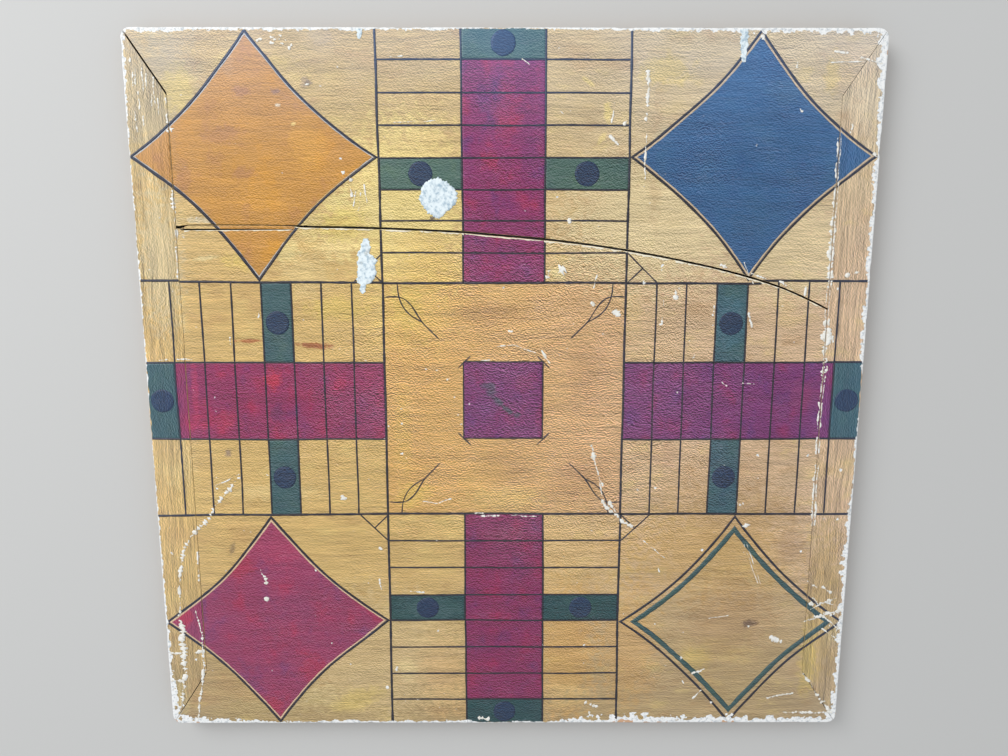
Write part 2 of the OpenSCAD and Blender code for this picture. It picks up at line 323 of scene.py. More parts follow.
def panel_tongue(x, y):
    """Reach of the tongue beyond the panel's two ends, between the stops short of the mitres."""
    at_end = (np.abs(x) > seam_x - 2 * seam_gap) & (np.abs(y) < tongue_reach)
    return np.sign(x) * tongue_len * at_end


# The panel is painted with ochre oil colour, brushed thin over a white ground coat, and varnished. All
# the board's paints are made so. Their shaders share the steps, patterns and wear that follow here.


def tint(red, green, blue):
    """Colour of a paint, given as screen values from 0 to 255, as the linear values that a shader takes."""
    share = np.array([red, green, blue]) / 255
    linear = np.where(share <= 0.04045, share / 12.92, ((share + 0.055) / 1.055) ** 2.4)
    return (*[float(value) for value in linear], 1.0)


def put(tree, kind, inputs=(), **settings):
    """Puts a node into a material or group. An input is a socket to link or a value to set."""
    node = tree.nodes.new("ShaderNode" + kind)
    for name, value in settings.items():
        setattr(node, name, value)
    for key, value in inputs.items() if isinstance(inputs, dict) else enumerate(inputs):
        if isinstance(value, bpy.types.NodeSocket):
            tree.links.new(value, node.inputs[key])
        elif value is not None:
            node.inputs[key].default_value = value
    return node


def reckon(tree, operation, *values):
    """One step of arithmetic on numbers."""
    return put(tree, "Math", values, operation=operation).outputs[0]


def times(tree, first, second):
    """Product of two numbers."""
    return reckon(tree, "MULTIPLY", first, second)


def plus(tree, first, second):
    """Sum of two numbers."""
    return reckon(tree, "ADD", first, second)


def less(tree, first, second):
    """First number less the second."""
    return reckon(tree, "SUBTRACT", first, second)


def move(tree, operation, *values):
    """One step of arithmetic on vectors. Its result is a vector, or a number for a length or a dot
    product."""
    inputs = dict(enumerate(values))
    if operation == "SCALE":
        inputs = {0: values[0], 3: values[1]}
    node = put(tree, "VectorMath", inputs, operation=operation)
    return node.outputs["Value" if operation in ("LENGTH", "DOT_PRODUCT") else "Vector"]


def ease(tree, value, low, high, out_low=0.0, out_high=1.0):
    """Carries a value from low to high onto out_low to out_high along a smooth curve, flat past both."""
    inputs = {"Value": value, "From Min": low, "From Max": high, "To Min": out_low, "To Max": out_high}
    return put(tree, "MapRange", inputs, interpolation_type="SMOOTHSTEP").outputs[0]


def mixed(tree, share, first, second, blend="MIX"):
    """Mixes two colours: first where the share is 0, second where it is 1."""
    inputs = {0: share, 6: first, 7: second}
    return put(tree, "Mix", inputs, data_type="RGBA", blend_type=blend, clamp_factor=True).outputs[2]


def mottle(tree, place, length, detail=2.0, roughness=0.5, stretch=(1, 1, 1)):
    """Soft noise from 0 to 1 whose blots are about length millimetres long, times stretch."""
    scaled = move(tree, "MULTIPLY", place, tuple(1 / (length * part) for part in stretch))
    inputs = {"Vector": scaled, "Scale": 1.0, "Detail": detail, "Roughness": roughness}
    return put(tree, "TexNoise", inputs).outputs["Fac"]


def new_group(name, inputs, outputs):
    """Empty shader group with named sockets, and its two ends. V is a vector, F a number, C a colour."""
    kinds = {"V": "NodeSocketVector", "F": "NodeSocketFloat", "C": "NodeSocketColor"}
    group = bpy.data.node_groups.new(name, "ShaderNodeTree")
    for socket, kind in inputs:
        group.interface.new_socket(socket, in_out="INPUT", socket_type=kinds[kind])
    for socket, kind in outputs:
        group.interface.new_socket(socket, in_out="OUTPUT", socket_type=kinds[kind])
    return group, group.nodes.new("NodeGroupInput").outputs, group.nodes.new("NodeGroupOutput").inputs


def use(tree, group, **values):
    """Places a shader group with its values, and gives its outputs."""
    return put(tree, "Group", values, node_tree=group).outputs


# Grain: the wood's fibres show through the paint as fine streaks and slow bands. They run along X on
# the panel and along Y on the end pieces, and Along gives places with the first axis along the fibres.
grain, given, result = new_group(
    "Wood grain", [("Place", "V")], [("Along", "V"), ("Streaks", "F"), ("Bands", "F")]
)
spread = put(grain, "SeparateXYZ", [given["Place"]]).outputs
past_seam = less(grain, reckon(grain, "ABSOLUTE", spread[0]), seam_x)
mitre_line = reckon(grain, "MULTIPLY_ADD", past_seam, mitre_slope, mitre_start)
short_of_mitre = less(grain, mitre_line, reckon(grain, "ABSOLUTE", spread[1]))
on_end = reckon(grain, "GREATER_THAN", reckon(grain, "MINIMUM", past_seam, short_of_mitre), 0.0)
turned = put(grain, "CombineXYZ", [spread[1], spread[0], spread[2]]).outputs[0]
along = mixed(grain, on_end, given["Place"], turned)
sway = put(grain, "TexNoise", {"Vector": along, "Scale": 0.022, "Detail": 1.0}).outputs["Color"]
fibre = move(grain, "ADD", along, move(grain, "SCALE", sway, 5.0))
fibre = move(grain, "MULTIPLY", fibre, (0.045, 0.95, 0.4))
fine = {"Vector": fibre, "Scale": 1.0, "Detail": 3.0, "Roughness": 0.65}
slow = {"Vector": fibre, "Scale": 0.13, "Detail": 2.0, "Roughness": 0.55}
grain.links.new(along, result["Along"])
grain.links.new(put(grain, "TexNoise", fine).outputs["Fac"], result["Streaks"])
grain.links.new(put(grain, "TexNoise", slow).outputs["Fac"], result["Bands"])

# Crazing: the varnish has shrunk like leather, into fine wrinkles with a lit and a shaded side, 1 to -1.
# It serves as relief, and as painted shade and highlight in the colour. It is strongest on the home square
# and to its right, and fades to about half away from there. Glints are thin painted highlights on the pale
# wrinkles that run along it.
crazing, given, result = new_group(
    "Crazed varnish", [("Place", "V"), ("Along", "V")], [("Relief", "F"), ("Glints", "F")]
)
wrinkles = move(crazing, "MULTIPLY", given["Along"], (1.25, 1.9, 0.9))
slopes = []
for step in ((0, 0, 0), (0.1, 0.95, 0)):
    stepped = move(crazing, "ADD", wrinkles, step)
    slopes.append(put(crazing, "TexNoise", {"Vector": stepped, "Scale": 1.0, "Detail": 0.6}).outputs["Fac"])
relief = ease(crazing, less(crazing, *slopes), -0.25, 0.25, -1.15, 1.15)
away = move(crazing, "SUBTRACT", given["Place"], (25.0, 0.0, board_t))
away = move(crazing, "LENGTH", move(crazing, "MULTIPLY", away, (0.75, 1.0, 1.0)))
crazed_share = ease(crazing, away, 66.0, 130.0, 1.05, 0.48)
patchy = ease(crazing, mottle(crazing, given["Place"], 30.0), 0.3, 0.7, 0.75, 1.2)
crazed_share = times(crazing, crazed_share, patchy)
crazing.links.new(times(crazing, relief, crazed_share), result["Relief"])
fold_glints = move(crazing, "MULTIPLY", given["Along"], (0.1, 0.62, 0.5))
wavy = {"Vector": fold_glints, "Scale": 1.0, "Detail": 2.5, "Roughness": 0.55}
fold_glints = less(crazing, put(crazing, "TexNoise", wavy).outputs["Fac"], 0.5)
fold_glints = ease(crazing, reckon(crazing, "ABSOLUTE", fold_glints), 0.0, 0.03, 1.0, 0.0)
folded = ease(crazing, mottle(crazing, given["Place"], 9.0, 2.0, 0.6, (2.0, 1, 1)), 0.4, 0.62, 0.15, 1.0)
crazing.links.new(times(crazing, times(crazing, fold_glints, folded), crazed_share), result["Glints"])

# Old varnish: it darkens the fibres of any paint under it, and its crazing is painted in as shade in the
# creases and highlight on the wrinkles. A bluish painted sheen lies on top, along the far edge and towards
# the two ends.
varnish, given, result = new_group(
    "Old varnish",
    [("Place", "V"), ("Paint", "C"), ("Leather", "F"), ("Fibres", "F")],
    [("Colour", "C"), ("Height", "F")],
)
streaks = use(varnish, grain, Place=given["Place"])
crazed = use(varnish, crazing, Place=given["Place"], Along=streaks["Along"])
relief = times(varnish, crazed["Relief"], given["Leather"])
fold_glints = times(varnish, crazed["Glints"], given["Leather"])
fibrous = times(varnish, less(varnish, streaks["Streaks"], 0.5), given["Fibres"])
banded = times(varnish, less(varnish, streaks["Bands"], 0.5), given["Fibres"])
# Painted shade and highlight: the crazing darkens and lightens the paint and adds a neutral light, and the
# glints add pale lines. The grain's streaks and bands are the paint's own.
shading_and_grain = reckon(varnish, "MULTIPLY_ADD", relief, 0.54, 1.0)
shading_and_grain = reckon(varnish, "MULTIPLY_ADD", fibrous, 1.8, shading_and_grain)
shading_and_grain = reckon(varnish, "MULTIPLY_ADD", banded, 0.7, shading_and_grain)
coat_with_painted_light = move(varnish, "SCALE", given["Paint"], shading_and_grain)
coat_with_painted_light = move(varnish, "MULTIPLY_ADD", relief, (0.075, 0.065, 0.075), coat_with_painted_light)
coat_with_painted_light = mixed(varnish, fold_glints, coat_with_painted_light, (0.1, 0.08, 0.1, 1), "ADD")
coat_with_painted_light = move(varnish, "MAXIMUM", coat_with_painted_light, (0.005, 0.005, 0.006))
spread = put(varnish, "SeparateXYZ", [given["Place"]]).outputs
# Painted sheen: a bluish reflection added to the colour, strong at the far edge and weaker towards the two
# ends, mottled.
sheen_to_far = reckon(varnish, "POWER", ease(varnish, spread[1], 125.0, 245.0), 1.3)
sheen_to_ends = ease(varnish, reckon(varnish, "ABSOLUTE", spread[0]), 170.0, 245.0, 0.0, 0.3)
painted_sheen = plus(varnish, sheen_to_far, sheen_to_ends)
painted_sheen = times(varnish, painted_sheen, ease(varnish, mottle(varnish, given["Place"], 35.0), 0.3, 0.7, 0.7, 1.15))
varnish.links.new(mixed(varnish, painted_sheen, coat_with_painted_light, (0.04, 0.08, 0.16, 1), "ADD"), result["Colour"])
height = reckon(varnish, "MULTIPLY_ADD", relief, 0.28, 0.5)
varnish.links.new(plus(varnish, height, fibrous), result["Height"])

# Worn rim: how far inside the rubbed rim a point lies. Its width in millimetres was measured every
# 20 mm along the four edges, and is broken up into lumps. It is widest at the near right.
rim_start, rim_end = -212.0, 208.0
widest_rim = 8.0
rim_widths = {
    "far": [
        1.4, 1.1, 1, 0.8, 1.1, 0.7, 0.9, 0.8, 0.8, 0.7, 0.4, 0.5, 0.8, 1.1, 0.8, 1, 1, 1.1, 1.5, 1.3,
        1.7, 2.1,
    ],
    "near": [
        3.7, 2.3, 1.2, 0.8, 0.8, 1.2, 0.8, 1, 0.8, 1.2, 0.5, 0.7, 0.6, 2.4, 3.2, 4.6, 3.9, 3.1, 4.4, 2.8,
        2.8, 3.9,
    ],
    "left": [
        2.6, 1.7, 1.2, 0.9, 0.8, 0.7, 0.7, 0.6, 0.5, 0.5, 0.3, 0.5, 0.6, 0.5, 0.7, 0.6, 0.5, 0.6, 0.5,
        0.6, 0.8, 1.1,
    ],
    "right": [
        2.4, 2, 2.2, 2.1, 2, 2.8, 2.4, 1.5, 0.6, 0.8, 0.6, 0.1, 1.1, 1.6, 1.6, 1.7, 1.5, 1.5, 1.9, 1.4,
        2.2, 3.4,
    ],
}


def profile(tree, value, start, end, heights, top):
    """Carries a value from start to end along a smooth curve through even heights from 0 to top."""
    share = put(tree, "MapRange", {"Value": value, "From Min": start, "From Max": end}).outputs[0]
    node = put(tree, "FloatCurve", {"Value": share})
    curve = node.mapping.curves[0]
    for number, height in enumerate(heights[1:-1], 1):
        curve.points.new(number / (len(heights) - 1), height / top)
    curve.points[0].location = (0.0, heights[0] / top)
    curve.points[-1].location = (1.0, heights[-1] / top)
    node.mapping.update()
    return times(tree, node.outputs[0], top)


worn_rim, given, result = new_group("Worn rim", [("Place", "V")], [("Inside", "F"), ("Depth", "F")])
spread = put(worn_rim, "SeparateXYZ", [given["Place"]]).outputs
past = []
for axis, reach in ((0, half_w), (1, half_d)):
    past.append(less(worn_rim, reckon(worn_rim, "ABSOLUTE", spread[axis]), reach - corner_r))
squares = [reckon(worn_rim, "POWER", reckon(worn_rim, "MAXIMUM", value, 0.0), 2.0) for value in past]
outside = reckon(worn_rim, "SQRT", plus(worn_rim, *squares))
both = reckon(worn_rim, "MINIMUM", reckon(worn_rim, "MAXIMUM", *past), 0.0)
depth = less(worn_rim, corner_r, plus(worn_rim, outside, both))
width = 0.0
rims = {"far": (1, half_d), "near": (1, -half_d), "left": (0, -half_w), "right": (0, half_w)}
for side, (axis, reach) in rims.items():
    measured = profile(worn_rim, spread[1 - axis], rim_start, rim_end, rim_widths[side], widest_rim)
    close_by = ease(worn_rim, spread[axis], reach * 0.94, reach * 0.97)
    width = reckon(worn_rim, "MAXIMUM", width, times(worn_rim, measured, close_by))
lumps = ease(worn_rim, mottle(worn_rim, given["Place"], 6.0, 2.0), 0.38, 0.64, 0.35, 1.75)
width = reckon(worn_rim, "MULTIPLY_ADD", width, lumps, ease(worn_rim, width, 0.2, 1.2, 0.1, 1.2))
worn_rim.links.new(less(worn_rim, width, depth), result["Inside"])
worn_rim.links.new(depth, result["Depth"])

# Flecks: small ragged chips strewn at random, and how far inside one a point lies. Each is at the
# middle of a cell of the pattern, and most cells hold none.
flecks, given, result = new_group(
    "Flecks", [("Place", "V"), ("Spacing", "F"), ("Size", "F"), ("Share", "F")], [("Inside", "F")]
)
frayed = put(flecks, "TexNoise", {"Vector": given["Place"], "Scale": 0.9, "Detail": 2.0}).outputs["Color"]
strewn = move(flecks, "ADD", given["Place"], move(flecks, "SCALE", frayed, 2.4))
strewn = move(flecks, "SCALE", strewn, reckon(flecks, "DIVIDE", 1.0, given["Spacing"]))
cells = put(flecks, "TexVoronoi", {"Vector": strewn, "Scale": 1.0}, voronoi_dimensions="2D").outputs
chance = put(flecks, "SeparateXYZ", [cells["Color"]]).outputs
size = times(flecks, given["Size"], plus(flecks, 0.25, reckon(flecks, "POWER", chance[1], 2.0)))
held = times(flecks, reckon(flecks, "GREATER_THAN", chance[0], given["Share"]), 60.0)
away = plus(flecks, times(flecks, cells["Distance"], given["Spacing"]), held)
flecks.links.new(less(flecks, size, away), result["Inside"])


def aged(tree, place, low, high, fleck_share):
    """What a painted surface of the board has lost: the share that is down to the white ground coat,
    and the share that is down to bare wood. Low and high are the corners of its box: the rim's wear
    is left out of a surface that lies clear of it by its widest and more."""
    rim_clear = widest_rim + 1
    torn = times(tree, less(tree, mottle(tree, place, 1.5, 3.0, 0.7), 0.5), 2.2)
    strewn = use(tree, flecks, Place=place, Spacing=11.0, Size=0.85, Share=fleck_share)["Inside"]
    fine_strewn = use(tree, flecks, Place=place, Spacing=4.5, Size=0.4, Share=fleck_share * 0.7)["Inside"]
    lost = reckon(tree, "MAXIMUM", strewn, fine_strewn)
    bare = 0.0
    if max(-low[0], high[0]) > half_w - rim_clear or max(-low[1], high[1]) > half_d - rim_clear:
        rim = use(tree, worn_rim, Place=place)["Inside"]
        lost = reckon(tree, "MAXIMUM", lost, plus(tree, rim, torn))
        bare_depth = plus(tree, rim, times(tree, mottle(tree, place, 13.0, 1.0), 6.0))
        bare = ease(tree, bare_depth, 9.0, 9.8)
    return ease(tree, lost, 0.0, 0.3), bare


white_ground = tint(252, 253, 252)
white_shade = tint(204, 210, 214)
bare_light = tint(214, 172, 138)
bare_dark = tint(128, 92, 62)


def lost_colour(tree, place, bare):
    """Colour of what shows where the paint is gone: mottled white ground, or pinkish bare wood."""
    chalk = ease(tree, mottle(tree, place, 2.0, 3.0, 0.7), 0.46, 0.66)
    white = mixed(tree, chalk, white_ground, white_shade)
    return white if bare == 0.0 else mixed(tree, bare, white, bare_light)


def smudged(tree, place, colour, spots):
    """Adds stains and rubbed places to a colour. Each is given by its middle, its two half lengths, its
    turn in degrees, its tint and its strength. It is an oval that fades outwards, broken up by noise."""
    broken = times(tree, less(tree, mottle(tree, place, 4.0, 3.0, 0.7), 0.5), 1.9)
    for x, y, half_x, half_y, turn, stain, strength in spots:
        away = move(tree, "SUBTRACT", place, (x, y, 0.0))
        within = move(tree, "MULTIPLY", away, (1 / half_x, 1 / half_y, 0.0))
        if turn:
            cosine, sine = float(np.cos(np.radians(turn))), float(np.sin(np.radians(turn)))
            across = move(tree, "DOT_PRODUCT", away, (cosine / half_x, sine / half_x, 0.0))
            along = move(tree, "DOT_PRODUCT", away, (-sine / half_y, cosine / half_y, 0.0))
            within = put(tree, "CombineXYZ", [across, along]).outputs[0]
        out = plus(tree, move(tree, "LENGTH", within), broken)
        colour = mixed(tree, ease(tree, out, 1.0, 0.35, 0.0, strength), colour, stain)
    return colour


def surface(name):
    """New material with its shader, and places on the piece in millimetres."""
    material = bpy.data.materials.new(name)
    material.use_nodes = True
    tree = material.node_tree
    shader = tree.nodes["Principled BSDF"]
    place = move(tree, "SCALE", put(tree, "TexCoord").outputs["Object"], 1 / mm)
    return material, tree, shader, place


def flat(tree, place):
    """The same places with their height left out, so that marks go straight down into the paint."""
    return move(tree, "MULTIPLY", place, (1, 1, 0))


def join_up(tree, shader, colour, roughness, height, relief):
    """Feeds the shader: colour, roughness, and a height from 0 to 1 that stands for relief millimetres."""
    bump = put(tree, "Bump", {"Strength": 1.0, "Distance": relief * mm, "Height": height})
    tree.links.new(colour, shader.inputs["Base Color"])
    tree.links.new(bump.outputs[0], shader.inputs["Normal"])
    if isinstance(roughness, float):
        shader.inputs["Roughness"].default_value = roughness
    else:
        tree.links.new(roughness, shader.inputs["Roughness"])


# Stains that years of use left in the ochre, measured on the board: a knot under the paint with its
# reddish streaks, dark scuffs, yellow smears and pale clouds.
grey_stain, dark_stain, knot_stain = tint(150, 128, 112), tint(96, 84, 74), tint(168, 98, 58)
yellow_stain, pale_stain, brown_stain = tint(222, 196, 96), tint(228, 208, 150), tint(166, 124, 84)
pale_yellow, warm_stain = tint(232, 208, 132), tint(208, 160, 90)
stains = [
    (-62, 124, 54, 66, 0, tint(231, 208, 134), 0.9), (92, 112, 80, 54, 0, tint(226, 208, 160), 0.65),
    (180, 96, 60, 40, 0, tint(224, 208, 160), 0.5), (-206, 184, 36, 56, 0, tint(172, 164, 134), 0.45),
    (-84, -176, 70, 62, 0, tint(214, 188, 140), 0.6), (42, -170, 28, 70, 0, warm_stain, 0.6),
    (134, -84, 60, 50, 0, tint(184, 146, 84), 0.3), (84, -170, 26, 60, 0, warm_stain, 0.4),
    (0, -65, 34, 12, 0, tint(222, 190, 120), 0.55), (-214, 88, 18, 62, 0, tint(204, 196, 164), 0.45),
    (-214, -38, 16, 26, 0, pale_stain, 0.35), (-60, 64, 44, 42, 0, tint(228, 194, 112), 0.4),
    (0, 82, 26, 24, 0, tint(222, 184, 118), 0.3), (44, -104, 60, 42, 0, tint(214, 178, 114), 0.35),
    (0, -206, 62, 24, 0, tint(208, 170, 114), 0.35), (52, 0, 26, 72, 0, tint(222, 178, 130), 0.3),
    (140, -104, 90, 46, 0, tint(200, 160, 78), 0.35), (216, 190, 14, 42, 0, tint(226, 206, 172), 0.35),
    (-52, 101, 24, 8, 0, warm_stain, 0.25), (-48, 88, 22, 8, 0, brown_stain, 0.14),
    (-52, 159, 24, 9, 0, brown_stain, 0.16), (48, 125, 22, 8, 0, brown_stain, 0.14),
    (-103, 99, 18, 12, 0, tint(240, 220, 154), 0.45), (205, 204, 24, 22, 0, tint(170, 130, 100), 0.2),
    (145, -45, 46, 28, 0, brown_stain, 0.14), (-125, 80, 20, 18, 0, pale_stain, 0.3),
    (-84, 123, 20, 18, 0, tint(232, 212, 148), 0.3), (-125, -206, 20, 12, 0, pale_stain, 0.22),
    (-42, -206, 20, 12, 0, pale_stain, 0.22), (42, -206, 20, 12, 0, pale_stain, 0.22),
    (-42, -165, 20, 18, 0, pale_stain, 0.2), (-190, 190, 36, 36, 0, brown_stain, 0.1),
    (189, -97, 13, 17, 0, tint(140, 105, 90), 0.3), (187, -51, 12, 11, 0, tint(140, 120, 90), 0.28),
    (-137, 96, 12, 10, 0, tint(234, 225, 157), 0.35), (-119, 111, 14, 12, 0, tint(240, 224, 148), 0.35),
    (-104, 124, 12, 12, 0, tint(242, 229, 153), 0.35), (-218, -34, 11, 15, 0, tint(180, 143, 95), 0.3),
    (-222, -206, 9, 17, 0, tint(218, 201, 143), 0.4), (221, -159, 8, 13, 0, tint(204, 194, 158), 0.4),
    (-163, -97, 8, 8, 0, tint(226, 197, 139), 0.35), (-153, -212, 11, 9, 0, tint(205, 194, 159), 0.35),
    (104, -35, 11, 13, 0, tint(160, 112, 91), 0.25), (94, 143, 8, 10, 0, tint(233, 231, 172), 0.35),
    (95, 163, 8, 9, 0, tint(217, 218, 183), 0.35), (-109, 221, 11, 7, 0, tint(170, 153, 137), 0.3),
    (-188.5, 114, 11, 2.4, -2, tint(222, 204, 166), 0.8),
    (-25.2, -23.5, 3, 3.8, 0, tint(152, 138, 112), 0.5), (-120.1, 195.3, 3.4, 5.2, 0, grey_stain, 0.5),
    (214, -134, 16, 76, 0, tint(184, 154, 84), 0.5), (160, -72, 52, 22, 0, tint(176, 144, 104), 0.35),
    (-104, -166, 42, 24, 0, tint(184, 154, 104), 0.4),
    (-160, -206, 50, 18, 0, tint(206, 184, 130), 0.35),
    (-42, -186, 20, 42, 0, tint(212, 168, 112), 0.35), (0, -42, 24, 20, 0, tint(188, 148, 96), 0.35),
    (-46, 82, 24, 22, 0, tint(222, 182, 96), 0.35), (-117.6, 194.3, 3.4, 2.8, 0, dark_stain, 0.6),
    (-44.6, 115.3, 2.2, 1.6, 0, dark_stain, 0.9), (61.9, 177.6, 3.4, 7.6, 0, pale_yellow, 0.85),
    (59, 163, 5.6, 2.2, 50, pale_yellow, 0.6), (50, 195.6, 5.6, 2, -35, pale_yellow, 0.75),
    (32.3, 82, 7.6, 4.8, -30, pale_stain, 0.9), (-162, 39.3, 12, 1.7, 2, knot_stain, 0.85),
    (-121, 36.6, 15.5, 2.7, -4, knot_stain, 0.9), (164.6, -152.9, 6.8, 3.6, 12, tint(76, 68, 64), 0.9),
    (-179.6, -33.8, 3.6, 3, 35, grey_stain, 0.8), (-180.6, -99.3, 2.4, 6, -20, dark_stain, 0.5),
    (-186, 91, 11, 2, 6, pale_stain, 0.7), (-150, 206, 34, 7, 0, yellow_stain, 0.3),
    (-196, 190, 14, 20, 0, yellow_stain, 0.45), (-100, 112, 20, 14, 10, yellow_stain, 0.5),
    (-128, 122, 16, 4, 0, yellow_stain, 0.4), (-160, 90, 20, 8, 0, yellow_stain, 0.45),
    (-106, 60, 26, 10, 0, yellow_stain, 0.4), (-62, 60, 14, 18, 0, yellow_stain, 0.35),
    (-66, -20, 8, 40, 0, yellow_stain, 0.18), (-60, -62, 16, 10, 20, yellow_stain, 0.4),
    (-10, 56, 34, 10, 0, brown_stain, 0.3), (48, -50, 26, 20, 30, brown_stain, 0.35),
    (52, 20, 18, 40, 0, brown_stain, 0.25), (92, 150, 6, 50, 0, brown_stain, 0.25),
    (96, 202, 20, 12, 0, yellow_stain, 0.4), (196, 200, 6, 16, 0, yellow_stain, 0.35),
    (150, -150, 44, 40, 45, brown_stain, 0.3), (130, -178, 14, 12, 0, yellow_stain, 0.25),
    (-180, -200, 30, 12, -20, brown_stain, 0.35), (-100, -208, 24, 10, 20, yellow_stain, 0.35),
    (-150, -60, 40, 8, 0, pale_stain, 0.3), (-66, -186, 8, 10, 0, pale_stain, 0.4),
    (206, -180, 8, 34, 0, yellow_stain, 0.4),
]
stain_reach = 20

# The ochre's tones. It runs from the left to a paler right side, turns bluer at the far edge as painted
# sheen, and has a warmer glaze on the home square. Clouds of brown and of light ochre lie in it.
ochre_left, ochre_right = tint(210, 176, 111), tint(208, 177, 141)
sheen_ochre_left, sheen_ochre_right = tint(198, 172, 118), tint(206, 190, 150)
glaze_left, glaze_right = tint(216, 163, 92), tint(210, 167, 129)
near_ochre, nest_ochre, handled_ochre = tint(171, 148, 106), tint(178, 154, 104), tint(150, 112, 70)
brown_cloud, light_cloud = tint(182, 140, 92), tint(218, 192, 118)
small_brown, small_light = tint(170, 128, 80), tint(222, 198, 126)
# Raw wood tones, and a near-black painted shade for the walls inside the joints and the split.
raw_light, raw_dark, painted_joint_shade = tint(166, 130, 90), tint(120, 86, 55), tint(9, 6, 5)


def ochre_wood(name, low, high, fibres):
    """Ochre oil paint and old varnish, with its painted shade, highlights and sheen, over white ground on
    planed wood.
    Its sides are darker with handling and its underside is bare. The walls inside the joints and the split
    are painted near-black as shade."""
    material, tree, shader, place = surface(name)
    on_face = flat(tree, place)
    parts = put(tree, "SeparateXYZ", [place]).outputs
    streaks = use(tree, grain, Place=place)
    gesso, bare = aged(tree, on_face, low, high, 0.07)
    depth = use(tree, worn_rim, Place=on_face)["Depth"]

    to_right = ease(tree, parts[0], -70.0, 150.0)
    to_near = ease(tree, parts[1], -80.0, -230.0)
    sheen_to_far = ease(tree, parts[1], 60.0, 200.0)
    cloud = mottle(tree, on_face, 46.0, 3.0, 0.6, (1.4, 0.8, 1))
    ochre = mixed(tree, to_right, ochre_left, ochre_right)
    sheen_ochre = mixed(tree, to_right, sheen_ochre_left, sheen_ochre_right)
    # Painted sheen: towards the far edge the ochre turns to its bluer sheen tone.
    ochre = mixed(tree, times(tree, sheen_to_far, 0.7), ochre, sheen_ochre)
    ochre = mixed(tree, times(tree, to_near, 0.85), ochre, near_ochre)
    ochre = mixed(tree, ease(tree, cloud, 0.54, 0.75, 0.0, 0.5), ochre, brown_cloud)
    ochre = mixed(tree, ease(tree, cloud, 0.46, 0.25, 0.0, 0.5), ochre, light_cloud)
    small_cloud = mottle(tree, on_face, 12.0, 3.0, 0.65, (1.8, 1, 1))
    ochre = mixed(tree, ease(tree, small_cloud, 0.54, 0.76, 0.0, 0.4), ochre, small_brown)
    ochre = mixed(tree, ease(tree, small_cloud, 0.46, 0.26, 0.0, 0.4), ochre, small_light)

    from_middle = reckon(tree, "MAXIMUM", *[reckon(tree, "ABSOLUTE", part) for part in parts[:2]])
    glazed = ease(tree, from_middle, 75.6, 76.2, 0.55, 0.0)
    ochre = mixed(tree, glazed, ochre, mixed(tree, to_right, glaze_left, glaze_right))
    off_x = reckon(tree, "POWER", reckon(tree, "ABSOLUTE", less(tree, parts[0], 152.4)), 0.85)
    off_y = reckon(tree, "POWER", reckon(tree, "ABSOLUTE", plus(tree, parts[1], 150.9)), 0.85)
    in_nest = reckon(tree, "POWER", plus(tree, off_x, off_y), 1.1765)
    ochre = mixed(tree, ease(tree, in_nest, 66.0, 68.0, 0.35, 0.0), ochre, nest_ochre)
    near_by = [
        stain for stain in stains
        if low[0] - stain_reach < stain[0] < high[0] + stain_reach
        and low[1] - stain_reach < stain[1] < high[1] + stain_reach
    ]
    ochre = smudged(tree, on_face, ochre, near_by)
    fresh = use(tree, varnish, Place=place, Paint=ochre, Leather=1.0, Fibres=fibres)
    painted = fresh["Colour"]

    side = ease(tree, parts[2], 13.2, 12.4)
    painted = mixed(tree, times(tree, side, 0.6), painted, handled_ochre)
    side_wear = times(tree, side, ease(tree, mottle(tree, place, 9.0, 3.0, 0.7), 0.54, 0.6))
    gesso = reckon(tree, "MAXIMUM", times(tree, gesso, ease(tree, parts[2], 10.5, 12.5)), side_wear)
    colour = mixed(tree, gesso, painted, lost_colour(tree, place, reckon(tree, "MAXIMUM", bare, side)))

    raw = mixed(tree, ease(tree, streaks["Streaks"], 0.3, 0.7), raw_light, raw_dark)
    raw = mixed(tree, ease(tree, streaks["Bands"], 0.35, 0.75, 0.0, 0.6), raw, bare_dark)
    under = ease(tree, parts[2], 1.3, 0.8)
    # Painted shade: walls below the face and away from the outer rim, in the joints and the split, are
    # painted near-black.
    inner = times(tree, ease(tree, depth, 2.4, 2.8), ease(tree, parts[2], 15.8, 15.66))
    bare_or_joint_shade = reckon(tree, "MAXIMUM", under, inner)
    underside_or_joint_shade = mixed(tree, under, painted_joint_shade, raw)
    colour = mixed(tree, bare_or_joint_shade, colour, underside_or_joint_shade)

    roughness = reckon(tree, "MULTIPLY_ADD", reckon(tree, "MAXIMUM", gesso, bare_or_joint_shade), 0.4, 0.4)
    height = reckon(tree, "MULTIPLY_ADD", gesso, -0.5, fresh["Height"])
    join_up(tree, shader, colour, roughness, height, 0.2)
    return material


def no_knock(place):
    """No wood is lost from an edge that lies in a joint."""
    return 0 * place


def box_of(node):
    """Two opposite corners of the box of a CAD node, in millimetres."""
    return [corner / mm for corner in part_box(node)]


